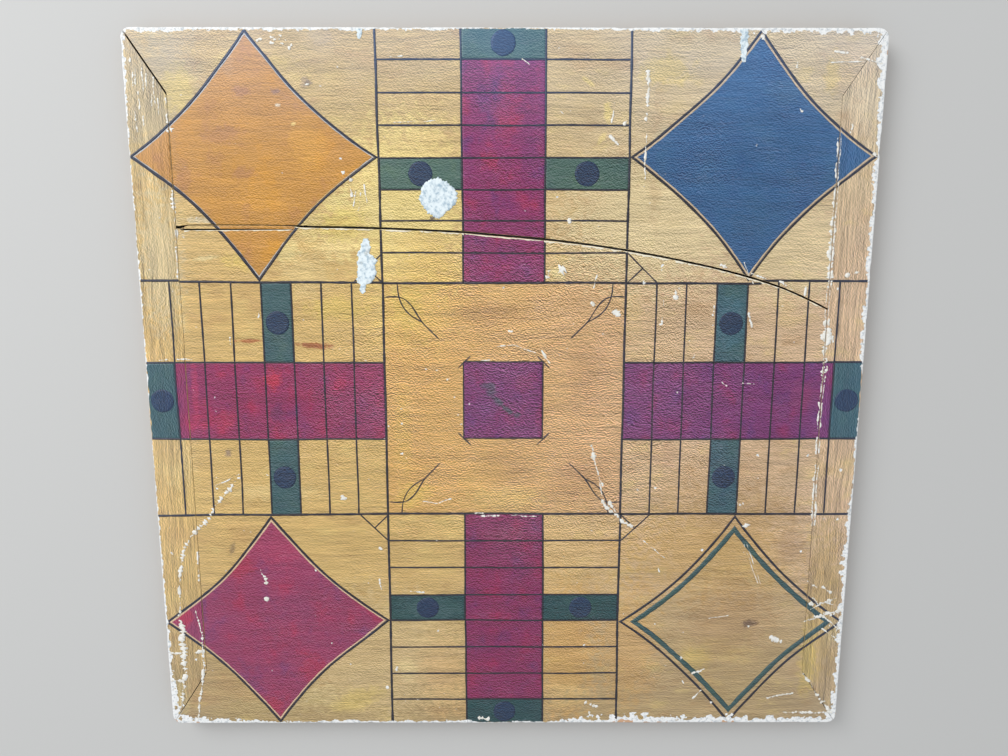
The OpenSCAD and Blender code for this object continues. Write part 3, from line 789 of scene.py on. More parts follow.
round_steps = [0, 0.1, 0.35, 0.75, 1.25, 1.85, 2.5, 3.3, 4.5]
joint_steps = [0, 0.2, 0.45, 0.8, 1.5, 2.7]
lip_steps = [0, 0.2, 0.45, 0.8, 1.4, splinter_w - 0.2, splinter_w]
panel_across = rungs(joint_steps, 176, joint_steps)
panel_far = wood_piece(
    "panel_far_wood",
    [
        lambda y: -past_mitre(y, "left"),
        lambda y: past_mitre(y, "right"),
        far_lip,
        lambda x: outer_edge(half_d, x, half_w, 0),
    ],
    "far",
    panel_across,
    rungs(joint_steps, 60, round_steps),
    [no_knock, no_knock, no_knock, lambda x: knocked(x, 21, 0.7)],
    panel_tongue,
)
panel_near = wood_piece(
    "panel_near_wood",
    [
        lambda y: -past_mitre(y, "left"),
        lambda y: past_mitre(y, "right"),
        lambda x: -outer_edge(half_d, x, half_w, 0),
        near_lip,
    ],
    "near",
    panel_across,
    rungs(round_steps, 130, lip_steps),
    [no_knock, no_knock, lambda x: knocked(x, 24, 1.1), no_knock],
    panel_tongue,
)

# Each end piece is a strip of the same wood, mitred at its corners, with its grain running away from
# the viewer. It is grooved along its inner side and glued over the panel's tongue to keep it flat.
# Its outer edge is knocked all along, with a deep nick at the far nest's tip and small ones nearer.
nicks = {"left": [(151.2, 1.5), (-7.0, 0.5)], "right": [(154.6, 1.7), (-96.0, 0.9), (-108.0, 1.1)]}


def end_knocks(side, seed):
    """Wood lost from an end piece's outer edge: the knocks of handling, and nicks, each a wedge that is
    deepest at its middle and 2.6 mm to either side of it gone."""
    def lost(y):
        deep = knocked(y, seed, 0.8)
        for place, depth in nicks[side]:
            deep = np.maximum(deep, depth * np.clip(1 - np.abs(y - place) / 2.6, 0, 1))
        return deep
    return lost


def end_groove(x, y):
    """Depth of the groove that takes the tongue, negative on the right piece, where inwards is to +X."""
    inner = (np.abs(x) < seam_x + 0.01) & (np.abs(y) < tongue_reach + 0.15)
    return np.sign(x) * (tongue_len + 0.15) * inner


end_along = rungs(joint_steps, 300, joint_steps)
end_left = wood_piece(
    "end_left_wood",
    [
        lambda y: -outer_edge(half_w, y, half_d, 0),
        lambda y: -seam_x + 0 * y,
        lambda x: -(mitre_start + (-x - seam_x) * mitre_slope),
        lambda x: mitre_start + (-x - seam_x) * mitre_slope,
    ],
    "left",
    rungs(round_steps, 8, joint_steps),
    end_along,
    [end_knocks("left", 27), no_knock, no_knock, no_knock],
    end_groove,
)
end_right = wood_piece(
    "end_right_wood",
    [
        lambda y: seam_x + 0 * y,
        lambda y: outer_edge(half_w, y, half_d, 0),
        lambda x: -(mitre_start + (x - seam_x) * mitre_slope),
        lambda x: mitre_start + (x - seam_x) * mitre_slope,
    ],
    "right",
    rungs(joint_steps, 8, round_steps),
    end_along,
    [no_knock, end_knocks("right", 31), no_knock, no_knock],
    end_groove,
)
for piece, node in [
    (panel_far, "panel_far"), (panel_near, "panel_near"), (end_left, "end_left"), (end_right, "end_right")
]:
    low, high = box_of(node)
    fibres = 0.65 if "panel" in node else 1.0
    piece.data.materials.append(ochre_wood(node + "_ochre", low, high, fibres))
    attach(piece, "root")
    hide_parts(node)

# The red lanes were painted first on the ochre, in one long brushful up the middle of each arm.
# Each coat is a film of oil paint that follows the wood under it, broken at the seams and the split.
lane_w = 50.8
cell_len = 19.05
row_count = 8
home_half = 76.2
depth_kept = 0.99
fill_lift = 0.1
fill_coat = 0.11
brush_sway = 0.16
least_area = 0.002
filled_rows = 7
arms = ("far", "right", "near", "left")

# The lines were ruled by hand and stray by up to a millimetre and a half, as measured on the board:
# each long line to the side at the home square, halfway and at the rim, and each row line outwards.
side_strays = {
    "far": ((-0.6, -0.9, -1.4), (-0.6, -0.8, -1.3), (-0.8, -0.8, -1.0), (-0.5, -0.3, -0.8)),
    "right": ((0.0, 0.0, 0.0), (-0.4, -0.3, -0.6), (-0.1, -0.4, -1.2), (-0.3, -0.2, 0.0)),
    "near": ((0.1, 0.1, -0.7), (0.4, -0.1, -0.6), (1.0, 1.2, 0.6), (0.6, 0.7, 1.2)),
    "left": ((0.2, -0.2, -0.8), (0.7, 0.4, 0.9), (0.0, 0.2, 0.4), (0.5, 0.8, 0.9)),
}
row_strays = {
    "far": (0.3, 0.0, 0.6, 0.4, 0.4, 0.7, 0.6, 0.7, 0.3),
    "right": (-0.4, -0.4, -0.5, -0.3, -0.1, 0.0, 0.1, 0.2, 0.0),
    "near": (-0.5, -0.7, -0.7, -0.2, -0.9, -0.4, 0.2, 0.5, 0.2),
    "left": (0.5, 0.7, 0.7, 0.4, 0.4, 0.2, 0.3, 0.1, 0.0),
}


def on_arm(arm, across, outwards):
    """Place on the board of a point given across an arm and outwards from the middle. It strays as the
    lines there do, the arm is turned to its side, and the depth carries the panel's shrinkage."""
    on_lines = np.clip(across / lane_w, -1.5, 1.5)
    share = (outwards - home_half) / (row_count * cell_len)
    for number, line in enumerate(side_strays[arm]):
        nearness = np.clip(1 - np.abs(on_lines + 1.5 - number), 0, 1)
        across = across + nearness * np.interp(share, (0, 0.5, 1), line)
    row_lines = home_half + cell_len * np.arange(row_count + 1)
    outwards = outwards + np.interp(outwards, row_lines, row_strays[arm])
    x, y = {
        "far": (across, outwards),
        "right": (outwards, -across),
        "near": (-across, -outwards),
        "left": (-outwards, across),
    }[arm]
    return x, y * depth_kept


def fine_steps(start, end, spacing):
    """Even steps from start to end, with closer ones where the face turns down towards an outer edge
    and beside the seams."""
    even = np.linspace(start, end, max(2, int(np.ceil(abs(end - start) / spacing)) + 1))
    close = np.array([0.4, 0.8, 1.1, 1.5, 2.0, 2.6, 3.4])
    seam = seam_x + np.array([-0.9, -0.6, -0.32, 0.12, 0.4, 0.7])
    depth = half_d / depth_kept
    extra = np.concatenate([half_w - close, depth - close, close - half_w, close - depth, seam, -seam])
    low, high = min(start, end), max(start, end)
    steps = np.unique(np.round(np.concatenate([even, extra[(extra > low) & (extra < high)]]), 4))
    return steps if end > start else steps[::-1]


def field(arm, x0, x1, y0, y1):
    """Rectangular patch of paint on an arm, as a grid."""
    across, outwards = np.meshgrid(fine_steps(x0, x1, 1.7), fine_steps(y0, y1, 1.7))
    return on_arm(arm, across, outwards)


def parts_under(x, y):
    """The parts of the wood under a patch, each with the patch squeezed onto it: what lies past a seam,
    a lip, the crack behind the splinter or the worn rim is drawn in to its edge."""
    clear = 0.12
    x = np.clip(x, -half_w + rim_bare(y, 51), half_w - rim_bare(y, 52))
    y = np.clip(y, -half_d + rim_bare(x, 53), half_d - rim_bare(x, 54))
    squeezed = []
    for side, part in ((-1, "left"), (1, "right")):
        if (side * x).max() > seam_x + clear:
            squeezed.append((part, side * np.maximum(side * x, seam_x + clear), y))
    inner = seam_x - seam_gap - clear
    if np.abs(x).min() < inner:
        x = np.clip(x, -inner, inner)
        if (y - far_lip(x)).max() > clear:
            squeezed.append(("far", x, np.maximum(y, far_lip(x) + clear)))
        low = np.minimum(y, near_lip(x) - clear)
        if x.min() < splinter_end and y.max() > crack_top(x).min() - crack_w:
            squeezed.append(("near", x, np.maximum(low, crack_top(x))))
            squeezed.append(("near", x, np.minimum(low, crack_top(x) - crack_open(x))))
        elif (near_lip(x) - y).max() > clear:
            squeezed.append(("near", x, low))
    return squeezed


def rim_bare(along, seed):
    """Width of the rim where no paint is left: 0.9 mm, more and less by 0.4."""
    return 0.9 + 0.4 * waves_along(along, 7, seed)


def turned_up(x, y):
    """The same grid with its rows in the order that makes its faces point up."""
    rise = (x[:-1, 1:] - x[:-1, :-1]) * (y[1:, :-1] - y[:-1, :-1])
    fall = (y[:-1, 1:] - y[:-1, :-1]) * (x[1:, :-1] - x[:-1, :-1])
    return (x, y) if (rise - fall).sum() > 0 else (x[::-1], y[::-1])


def paint_film(name, patches, lift=fill_lift, coat=fill_coat):
    """Film of paint from flat patches, each a grid of x and y. The brush wandered by about 0.16 mm. The
    film lies lift above the face, and faces that were squeezed to nothing are left out."""
    points, faces, count = [], [], 0
    for x, y in patches:
        x, y = np.asarray(x, float), np.asarray(y, float)
        x, y = x + brush_sway * waves(x, y, 55, 61), y + brush_sway * waves(x, y, 55, 62)
        for part, part_x, part_y in parts_under(*turned_up(x, y)):
            spots = np.stack([part_x, part_y, face_height(part_x, part_y, part) + lift], -1).reshape(-1, 3)
            quads = grid_faces(*part_x.shape)
            first = spots[quads[:, 2]] - spots[quads[:, 0]]
            second = spots[quads[:, 3]] - spots[quads[:, 1]]
            area = (first[:, 0] * second[:, 1] - first[:, 1] * second[:, 0]) / 2
            faces.append(quads[area > least_area] + count)
            points.append(spots)
            count += len(spots)
    piece = new_piece(name, np.concatenate(points), np.concatenate(faces))
    thick = piece.modifiers.new("coat", "SOLIDIFY")
    thick.thickness = coat * mm
    thick.offset = -1
    return piece


def oil_paint(name, low, high, main, warm, cool, spots=(), leather=1.0, fibres=0.5, relief=0.16):
    """Oil paint, brushed thin over wood and varnished. In clouds it is warmer where it is rubbed and
    cooler where it lies thick, and it may have stains. The old varnish, with its painted shade, highlights
    and sheen, goes over all of it."""
    material, tree, shader, place = surface(name)
    on_face = flat(tree, place)
    gesso, bare = aged(tree, on_face, low, high, 0.02)
    cloud = mottle(tree, on_face, 17.0, 3.0, 0.65, (1.0, 1.3, 1))
    colour = mixed(tree, ease(tree, cloud, 0.5, 0.72, 0.0, 0.8), main, warm)
    colour = mixed(tree, ease(tree, cloud, 0.48, 0.28, 0.0, 0.8), colour, cool)
    if spots:
        colour = smudged(tree, on_face, colour, spots)
    old = use(tree, varnish, Place=place, Paint=colour, Leather=leather, Fibres=fibres)
    colour = mixed(tree, gesso, old["Colour"], lost_colour(tree, place, bare))
    rough = reckon(tree, "MULTIPLY_ADD", gesso, 0.35, 0.4)
    height = reckon(tree, "MULTIPLY_ADD", gesso, -0.45, old["Height"])
    join_up(tree, shader, colour, rough, height, relief)
    return material


def on_board(piece, slot_name, node, paint, tones, **ways):
    """Gives the piece an oil paint, within the box of its CAD node. The piece rides with the board and
    stands for that node. Its slot name is not used."""
    piece.data.materials.append(oil_paint(paint, *box_of(node), *tones, **ways))
    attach(piece, "root")
    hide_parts(node)


red_warm, red_cool = tint(164, 36, 80), tint(108, 46, 106)
lane_reds = {
    "far": (tint(135, 42, 97), red_warm, red_cool),
    "right": (tint(120, 48, 107), tint(143, 36, 93), tint(102, 52, 117)),
    "near": (tint(131, 39, 89), tint(151, 31, 80), tint(109, 43, 98)),
    "left": (tint(142, 44, 90), tint(168, 37, 80), tint(121, 48, 100)),
}
lane_spots = {
    "far": [
        (0, 178, 8, 26, 0, tint(176, 38, 66), 0.3), (-14, 188, 6, 10, 0, red_cool, 0.6),
        (16, 150, 8, 20, 0, red_cool, 0.4),
    ],
    "right": [(190, 4, 14, 14, 0, tint(140, 62, 104), 0.5)],
    "near": [(0, -90, 20, 8, 0, tint(136, 60, 88), 0.5)],
    "left": [
        (-198, 8, 3, 30, 0, tint(178, 56, 92), 0.6), (-148, 14, 7, 9, 0, tint(190, 48, 70), 0.7),
        (-146, -8, 6, 9, 0, tint(104, 50, 92), 0.6), (-180, -12, 8, 10, 0, tint(176, 50, 78), 0.5),
    ],
}
for arm in arms:
    half_lane = lane_w / 2 + 0.2 * (arm == "left")
    lane = paint_film(
        "red_lane_" + arm + "_paint",
        [field(arm, -half_lane, half_lane, home_half, home_half + filled_rows * cell_len)],
    )
    reds = {"tones": lane_reds[arm], "spots": lane_spots[arm], "leather": 1.3}
    on_board(lane, "crimson_paint", "red_lane_" + arm, "crimson_" + arm, **reds)

# Each arm has three green cells: one in either side lane and the outermost one in the middle.
# They are the same thin oil paint as the red, laid up to the ink lines.
# The far cells' greens are lighter than the others, in part as a painted sheen from the far edge.
green_tones = {
    "far": (tint(76, 104, 94), tint(88, 114, 92), tint(64, 94, 90)),
    "right": (tint(60, 94, 103), tint(70, 102, 102), tint(52, 86, 104)),
    "near": (tint(36, 75, 78), tint(46, 82, 78), tint(30, 69, 78)),
    "left": (tint(62, 93, 96), tint(72, 100, 94), tint(54, 86, 96)),
}
green_spots = {
    "far": [(0, 222, 26, 9, 0, tint(66, 96, 88), 0.7)],
    "right": [(142, 52, 12, 20, 0, tint(72, 110, 124), 0.7)],
    "near": [(-50, -142, 30, 10, 0, tint(68, 96, 98), 0.7)],
}
safe_row = 4
for arm in arms:
    inner, outer = lane_w / 2, home_half
    low_row = home_half + (safe_row - 1) * cell_len
    last_row = home_half + filled_rows * cell_len
    cells = [
        field(arm, inner, outer, low_row, low_row + cell_len),
        field(arm, -outer, -inner, low_row, low_row + cell_len),
        field(arm, -inner, inner, last_row, home_half + row_count * cell_len),
    ]
    safe = paint_film("safe_cells_" + arm + "_paint", cells)
    greens = {"tones": green_tones[arm], "spots": green_spots.get(arm, ())}
    on_board(safe, "green_paint", "safe_cells_" + arm, "green_" + arm, **greens)

# The four nests are four-pointed shapes with curved sides, one in each corner of the board.
# Three are filled with colour. The near right one is only a green band on the ochre.
nest_reach = 75.55
nest_x = 152.4
nest_sag = 6.0
nest_line = 1.5
side_len = 107
nest_places = {"orange": (-1, 1), "blue": (1, 1), "green": (1, -1), "red": (-1, -1)}
nest_radius = ((nest_reach ** 2 * (1 + depth_kept ** 2)) / 4 + nest_sag ** 2) / (2 * nest_sag)


def nest_side(share, inset):
    """Points of the far right side of a nest, from its far tip at share 0 to its right tip at share 1.
    The side is an arc that curves in by the sag. Inset moves it inwards, and the arc then runs
    between the points where it meets the nest's two middle lines."""
    tip = np.array([nest_reach, nest_reach * depth_kept])
    out = np.array([tip[1], tip[0]]) / np.hypot(*tip)
    middle = tip / 2 + out * (nest_radius - nest_sag)
    radius = nest_radius + inset
    far_tip = middle[1] - np.sqrt(radius ** 2 - middle[0] ** 2)
    right_tip = middle[0] - np.sqrt(radius ** 2 - middle[1] ** 2)
    start = np.arctan2(far_tip - middle[1], -middle[0])
    end = np.arctan2(-middle[1], right_tip - middle[0])
    start = np.where(start < 0, start + 2 * np.pi, start)
    end = np.where(end < 0, end + 2 * np.pi, end)
    angle = start + (end - start) * share
    return middle[0] + radius * np.cos(angle), middle[1] + radius * np.sin(angle)


# Each side strays inwards by so much at its first quarter, middle and last quarter, as measured. They
# are the far right, near right, near left and far left side, each from its far or near tip.
nest_strays = {
    "orange": ((0.6, 0.4, -0.1), (0.2, 0.7, 0.7), (-1.0, 0.0, 0.0), (-2.8, -2.4, -1.7)),
    "blue": ((-0.7, -0.5, -0.8), (0.8, 0.6, 0.3), (-0.2, -0.4, -0.8), (-0.5, -1.5, -1.9)),
    "green": ((-0.6, -0.8, -0.4), (-2.4, -1.8, -1.7), (-0.6, -1.4, -0.8), (-1.0, -0.5, -0.2)),
    "red": ((-0.3, -0.5, -0.9), (1.0, 0.1, -1.0), (-2.7, -2.3, -1.9), (-1.5, -0.7, -0.8)),
}

# Each nest's far, right, near and left tip lies so far off, to the right and towards the far side.
tip_shifts = {
    "orange": ((-2.4, 0.0), (-0.5, 0.9), (-1.0, 0.5), (-0.6, 1.2)),
    "blue": ((0.2, 0.1), (-0.5, 1.6), (-0.3, 0.7), (-0.7, 0.9)),
    "green": ((-0.7, 0.2), (0.1, -0.4), (1.8, -0.1), (0.0, -0.3)),
    "red": ((-1.4, -0.2), (-0.4, 0.9), (-2.0, 0.0), (-0.4, -0.4)),
}


def off_tip(colour, number, share):
    """How far a nest's side moves over, across and outwards, near the tips at its two ends."""
    first, second = [tip_shifts[colour][tip] for tip in ((0, 1), (2, 1), (2, 3), (0, 3))[number]]
    at_first = np.clip(1 - share / 0.2, 0, 1) ** 1.5
    at_second = np.clip(1 - (1 - share) / 0.2, 0, 1) ** 1.5
    return [at_first * first[axis] + at_second * second[axis] for axis in (0, 1)]


def strayed(colour, number, share):
    """Stray of a nest's side: three sine waves, nothing at the tips, that pass through what is given."""
    waves_at = np.sin(np.pi * np.outer((0.23, 0.5, 0.77), (1, 2, 3)))
    heights = np.linalg.solve(waves_at, nest_strays[colour][number])
    return sum(height * np.sin(np.pi * (place + 1) * share) for place, height in enumerate(heights))


def side_steps(count):
    """Steps along a nest's side: count of them evenly in between, and close ones at the two tips."""
    tips = np.array([0, 0.004, 0.009, 0.015, 0.022])
    return np.concatenate([tips, np.linspace(0.03, 0.97, count), 1 - tips[::-1]])


def nest_fill(colour, inset):
    """A nest's field as one grid between its four sides: the blend of each pair of opposite sides,
    less the blend of the four tips. The sides waver by 0.13 mm as the brush ran along them."""
    step = side_steps(62)
    s, t = np.meshgrid(step, step)

    def side(share, sign_x, sign_y, number):
        uneven = 0.13 * waves_along(side_len * share, 8, 71 + number)
        x, y = nest_side(share, inset + uneven + strayed(colour, number, share))
        off_x, off_y = off_tip(colour, number, share)
        return np.stack([sign_x * x + off_x, sign_y * y + off_y])

    low, right = side(1 - s, -1, -1, 2), side(t, 1, -1, 1)
    top, left = side(s, 1, 1, 0), side(1 - t, -1, 1, 3)
    blend = (1 - t) * low + t * top + (1 - s) * left + s * right
    blend = blend - (1 - s) * (1 - t) * low[:, :1, :1] - s * (1 - t) * low[:, :1, -1:]
    blend = blend - s * t * top[:, -1:, -1:] - (1 - s) * t * top[:, -1:, :1]
    place_x, place_y = nest_places[colour]
    return blend[0] + place_x * nest_x, blend[1] + place_y * nest_x * depth_kept


def nest_band(colour, inset, width, seed, waver=0.1):
    """A line or band along a nest's four sides, mitred at the tips: three rows of points a side."""
    share = side_steps(72)
    place_x, place_y = nest_places[colour]
    bands = []
    for number, (sign_x, sign_y) in enumerate([(1, 1), (1, -1), (-1, -1), (-1, 1)]):
        run = side_len * share
        middle = inset + width / 2 + 0.8 * waver * waves_along(run, 40, seed + 7 * number)
        middle = middle + strayed(colour, number, share)
        coarse, small = waves_along(run, 11, seed + 7 * number + 1), waves_along(run, 2.5, seed)
        half = width / 2 * (1 + waver * coarse + 0.05 * small)
        taper = np.minimum(share, 1 - share) / 0.03
        middle = np.where(taper < 1, middle * taper + (inset + width / 2) * (1 - taper), middle)
        half = np.where(taper < 1, half * taper + width / 2 * (1 - taper), half)
        half = half * (0.82 + 0.18 * np.clip(np.minimum(share, 1 - share) / 0.15, 0, 1))
        half = half * (1.22 if (colour, number) == ("orange", 2) else 1.0)
        off_x, off_y = off_tip(colour, number, share)
        rows_x, rows_y = [], []
        for across in (-1, 0, 1):
            x, y = nest_side(share, middle + across * half)
            rows_x.append(sign_x * x + off_x + place_x * nest_x)
            rows_y.append(sign_y * y + off_y + place_y * nest_x * depth_kept)
        bands.append((np.array(rows_x), np.array(rows_y)))
    return bands


nest_tones = {
    "orange": (tint(197, 142, 64), tint(208, 146, 46), tint(184, 130, 74), 0.45),
    "blue": (tint(52, 95, 138), tint(58, 100, 138), tint(44, 86, 132), 1.0),
    "red": (tint(148, 60, 95), tint(168, 50, 84), tint(128, 62, 106), 0.9),
}
orange_dark = tint(170, 118, 82)
nest_spots = {
    "orange": [
        (-158, 190, 9, 4, 0, orange_dark, 0.6), (-170, 165, 14, 7, 10, orange_dark, 0.5),
        (-160, 142, 10, 5, 0, orange_dark, 0.5), (-138, 190, 4, 2.5, 0, tint(150, 116, 104), 0.7),
        (-120, 160, 14, 22, 0, tint(216, 158, 62), 0.6), (-150, 128, 22, 10, 0, tint(214, 154, 60), 0.6),
        (-137, 182, 2.4, 1.2, 0, tint(240, 226, 200), 0.8), (-196, 140, 6, 14, 0, orange_dark, 0.4),
        (-128, 171, 2.2, 1.4, 20, tint(240, 210, 130), 0.8), (-166, 205, 6, 8, 0, tint(206, 158, 100), 0.5),
    ],
    # Painted sheen: the blue is lighter towards the nest's far tip and darker towards its near side.
    "blue": [(170, 190, 14, 10, 0, tint(76, 112, 142), 0.4), (150, 110, 18, 12, 0, tint(54, 90, 122), 0.4)],
    "red": [
        (-160, -214, 12, 10, 0, tint(176, 48, 74), 0.6), (-130, -186, 12, 16, 20, tint(172, 46, 74), 0.5),
        (-176, -196, 16, 9, -30, tint(118, 62, 108), 0.5), (-216, -146, 8, 12, 0, tint(196, 44, 62), 0.5),
        (-202, -142, 3, 12, 0, tint(110, 60, 110), 0.5), (-176, -112, 14, 9, 20, tint(178, 50, 72), 0.5),
        (-140, -140, 18, 18, 0, tint(136, 62, 98), 0.5), (-150, -97, 34, 18, 0, tint(172, 66, 98), 0.6),
    ],
}
nest_slots = {"orange": "orange_paint", "blue": "blue_paint", "red": "crimson_paint"}
for colour, (*tones, gap) in nest_tones.items():
    nest = paint_film("nest_" + colour + "_paint", [nest_fill(colour, nest_line + gap)])
    fill = {"tones": tones, "spots": nest_spots[colour], "leather": 0.8 if colour == "orange" else 1.1}
    on_board(nest, nest_slots[colour], "nest_" + colour, "nest_" + colour, **fill)

green_band = paint_film("nest_green_paint", nest_band("green", nest_line + 2.3, 3.3, 83))
band_greens = tint(58, 88, 88), tint(66, 96, 86), tint(52, 82, 90)
on_board(green_band, "green_paint", "nest_green", "nest_green", band_greens)

# Beside each nest's line the varnish lies thin, so a pale strip of the ochre shows along it. The strips
# are part of the ochre, laid on as films of their own under the lines.
reserve_tones = {"orange": tint(196, 196, 196), "blue": tint(206, 182, 150), "red": tint(224, 190, 158)}
reserves = {"orange": (1.25, 0.85), "blue": (1.25, 1.4), "red": (1.25, 1.3)}
reserve_lift = 0.06
reserve_coat = 0.07
for number, (colour, (start, width)) in enumerate(reserves.items()):
    band = nest_band(colour, start, width, 91 + number, 0.12)
    strip = paint_film("nest_" + colour + "_reserve", band, reserve_lift, reserve_coat)
    low, high = box_of("nest_" + colour + "_line")
    tones = [reserve_tones[colour]] * 3
    faded = [(-118, 118, 52, 44, 0, tint(214, 174, 100), 0.9)] if colour == "orange" else ()
    strip.data.materials.append(oil_paint("reserve_" + colour, low, high, *tones, faded, 0.6, 0.3))
    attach(strip, "root")

# The red square stands a little to the left in the home square. Rubbing has brought up some green on
# it. Its sides are not quite true, as the painter followed a scratched line.
centre_half = 25.3
centre_x, centre_y = -0.7, 0.6
square_x, square_y = field("far", -centre_half, centre_half, -centre_half, centre_half)
square = paint_film("centre_square_paint", [(square_x + centre_x, square_y + centre_y)])
rubbed_green = tint(66, 80, 88)
scuffs = [
    (-10.5, 10.2, 7.0, 3.0, 0, rubbed_green, 0.9), (-9.4, 6.4, 5.0, 3.6, 0, rubbed_green, 0.9),
    (-4.6, 0.8, 7.2, 2.9, -38, rubbed_green, 0.9), (2.0, -5.4, 6.4, 2.2, -40, rubbed_green, 0.85),
    (8.0, -9.0, 3.4, 2.6, 20, rubbed_green, 0.7), (-14.0, 0.0, 12.0, 18.0, 0, tint(112, 48, 108), 0.5),
    (12.0, 12.0, 9.0, 9.0, 0, tint(138, 46, 90), 0.5),
]
centre_reds = tint(121, 43, 103), tint(142, 32, 93), tint(101, 44, 115)
centre_ways = {"tones": centre_reds, "spots": scuffs, "leather": 1.4}
on_board(square, "crimson_paint", "centre_square", "centre_crimson", **centre_ways)

# The lines were drawn last, in near-black ink paint with a fine brush, along a straight edge.
# They are a little uneven, the row lines across the lanes thinner than the long ones.
line_lift = 0.17
line_coat = 0.15


def stroke(path_x, path_y, width, seed, uneven=0.13, tip=0.5):
    """Ribbon along a path: the path and half the width to either side, square to it. The width swells
    and thins by the uneven share, and the last bit at each end is rounded by the tip."""
    step_x, step_y = np.gradient(path_x), np.gradient(path_y)
    length = np.maximum(np.hypot(step_x, step_y), 1e-9)
    run = np.cumsum(length)
    swell = 1 + uneven * waves_along(run, 10, seed) + 0.5 * uneven * waves_along(run, 2.7, seed + 1)
    from_end = np.minimum(run - run[0], run[-1] - run)
    ends = 0.6 + 0.4 * np.sqrt(np.clip(from_end / tip, 0, 1))
    half = width / 2 * swell * ends
    drift = 0.1 * waves_along(run, 60, seed + 2)
    rows_x = [path_x - step_y / length * (across * half + drift) for across in (-1, 0, 1)]
    rows_y = [path_y + step_x / length * (across * half + drift) for across in (-1, 0, 1)]
    return np.array(rows_x), np.array(rows_y)


def ruled(arm, start, end, width, seed, shift=0.0):
    """Straight line on an arm between two points, given across and outwards, moved over by shift."""
    outwards = int(abs(end[1] - start[1]) > abs(end[0] - start[0]))
    run = fine_steps(start[outwards], end[outwards], 1.3)
    share = (run - run[0]) / (run[-1] - run[0])
    across, out = start[0] + share * (end[0] - start[0]), start[1] + share * (end[1] - start[1])
    x, y = on_arm(arm, across + shift, out)
    return stroke(x, y, width, seed)


outer_line, inner_line, row_line, fine_line = 1.45, 1.15, 1.05, 0.75
ink_tones = tint(38, 38, 48), tint(50, 42, 48), tint(36, 44, 66)
ink = {"tones": ink_tones, "leather": 0.8, "fibres": 0.4, "relief": 0.08}
overrun = 0.6
far_out = home_half + row_count * cell_len
line_steps = {("left", 1.5): (seam_x, 0.9), ("right", -1.5): (161.0, -1.55)}
for number, arm in enumerate(arms):
    strokes = []
    for lane in (-1.5, 1.5):
        side = lane * lane_w
        stop, shift = line_steps.get((arm, lane), (far_out, 0))
        strokes.append(ruled(arm, (side, home_half - overrun), (side, stop), outer_line, 101 + 10 * number))
        if shift:
            strokes.append(ruled(arm, (side, stop), (side, far_out), outer_line, 160, shift))
    for lane in (-0.5, 0.5):
        side = lane * lane_w
        strokes.append(ruled(arm, (side, home_half), (side, far_out), inner_line, 104 + 10 * number))
    ends = (-home_half - overrun, home_half), (home_half + overrun, home_half)
    strokes.append(ruled(arm, *ends, outer_line, 106 + 10 * number))
    for row in range(1, row_count):
        level = home_half + row * cell_len
        start = -home_half - 1.5 * (arm == "right" and row > 4)
        strokes.append(ruled(arm, (start, level), (home_half, level), row_line, 200 + 10 * number + row))
    lines = paint_film("lines_" + arm + "_paint", strokes, line_lift, line_coat)
    on_board(lines, "ink_paint", "lines_" + arm, "ink_" + arm, **ink)

for number, colour in enumerate(nest_places):
    band = nest_band(colour, -0.15, nest_line, 301 + 30 * number)
    rim = paint_film("nest_" + colour + "_line_paint", band, line_lift - 0.02, line_coat)
    on_board(rim, "ink_paint", "nest_" + colour + "_line", "ink_nest_" + colour, **ink)

# A round dot of blue-black paint marks each safe cell, drawn with compasses and filled in by hand. The
# paint is thicker than the ink of the lines, and its rim a little uneven.
dot_r = 7.45
dot_lift = 0.2
dot_coat = 0.18
dots = []
for number, arm in enumerate(arms):
    for across, outwards in [(-lane_w, safe_row - 0.5), (lane_w, safe_row - 0.5), (0, row_count - 0.5)]:
        x, y = on_arm(arm, across, home_half + outwards * cell_len)
        angle, share = np.meshgrid(np.linspace(0, 2 * np.pi, 73), np.linspace(0.0, 1.0, 7))
        seed = 401 + number + int(10 * outwards) + int(across)
        uneven = 1 + 0.018 * waves(4 * np.cos(angle), 4 * np.sin(angle), 3, abs(seed))
        reach = dot_r * share * uneven
        dots.append((x + reach * np.cos(angle), y + reach * np.sin(angle)))
dots = paint_film("safe_dots_paint", dots, dot_lift, dot_coat)
dot_tones = tint(18, 54, 84), tint(24, 60, 86), tint(14, 46, 82)
on_board(dots, "ink_paint", "safe_dots", "dot_ink", dot_tones, leather=1.1, fibres=0.6, relief=0.25)

# Fine brushwork: the braces across the outside of the home square's corners, the leaf-shaped
# ornaments inside them, and the outline of the red square with a tick across each corner.
leaf_outer = [
    (0.6, 8.7), (5, 8.4), (9.6, 8.6), (13, 9.9), (16.5, 13), (19, 16.4), (21.6, 20.8), (24.3, 24.8),
    (28, 28.7), (34.3, 35.2),
]
leaf_inner = [
    (8.7, 0.6), (8.9, 4.5), (9.6, 8.6), (10.9, 12.4), (12.7, 15.8), (15.2, 18.8), (18.8, 21.6),
    (24.3, 24.8),
]


def near_home(corner, x, y):
    """Place of a point given as its distances in from the two sides of the home square at a corner."""
    return corner[0] * (home_half - x), corner[1] * (home_half - y) * depth_kept


def smooth_path(points):
    """Points along a smooth curve through the given ones: each stretch is a cubic whose end slopes are
    those of the line between its neighbours."""
    points = np.array(points)
    slopes = np.gradient(points, axis=0)
    share = np.linspace(0, 1, 9)[:-1, None]
    squared, cubed = share ** 2, share ** 3
    pieces = []
    for start, end, slope_a, slope_b in zip(points[:-1], points[1:], slopes[:-1], slopes[1:]):
        rise = (2 * cubed - 3 * squared + 1) * start + (3 * squared - 2 * cubed) * end
        pieces.append(rise + (cubed - 2 * squared + share) * slope_a + (cubed - squared) * slope_b)
    path = np.concatenate([*pieces, points[-1:]])
    return path[:, 0], path[:, 1]


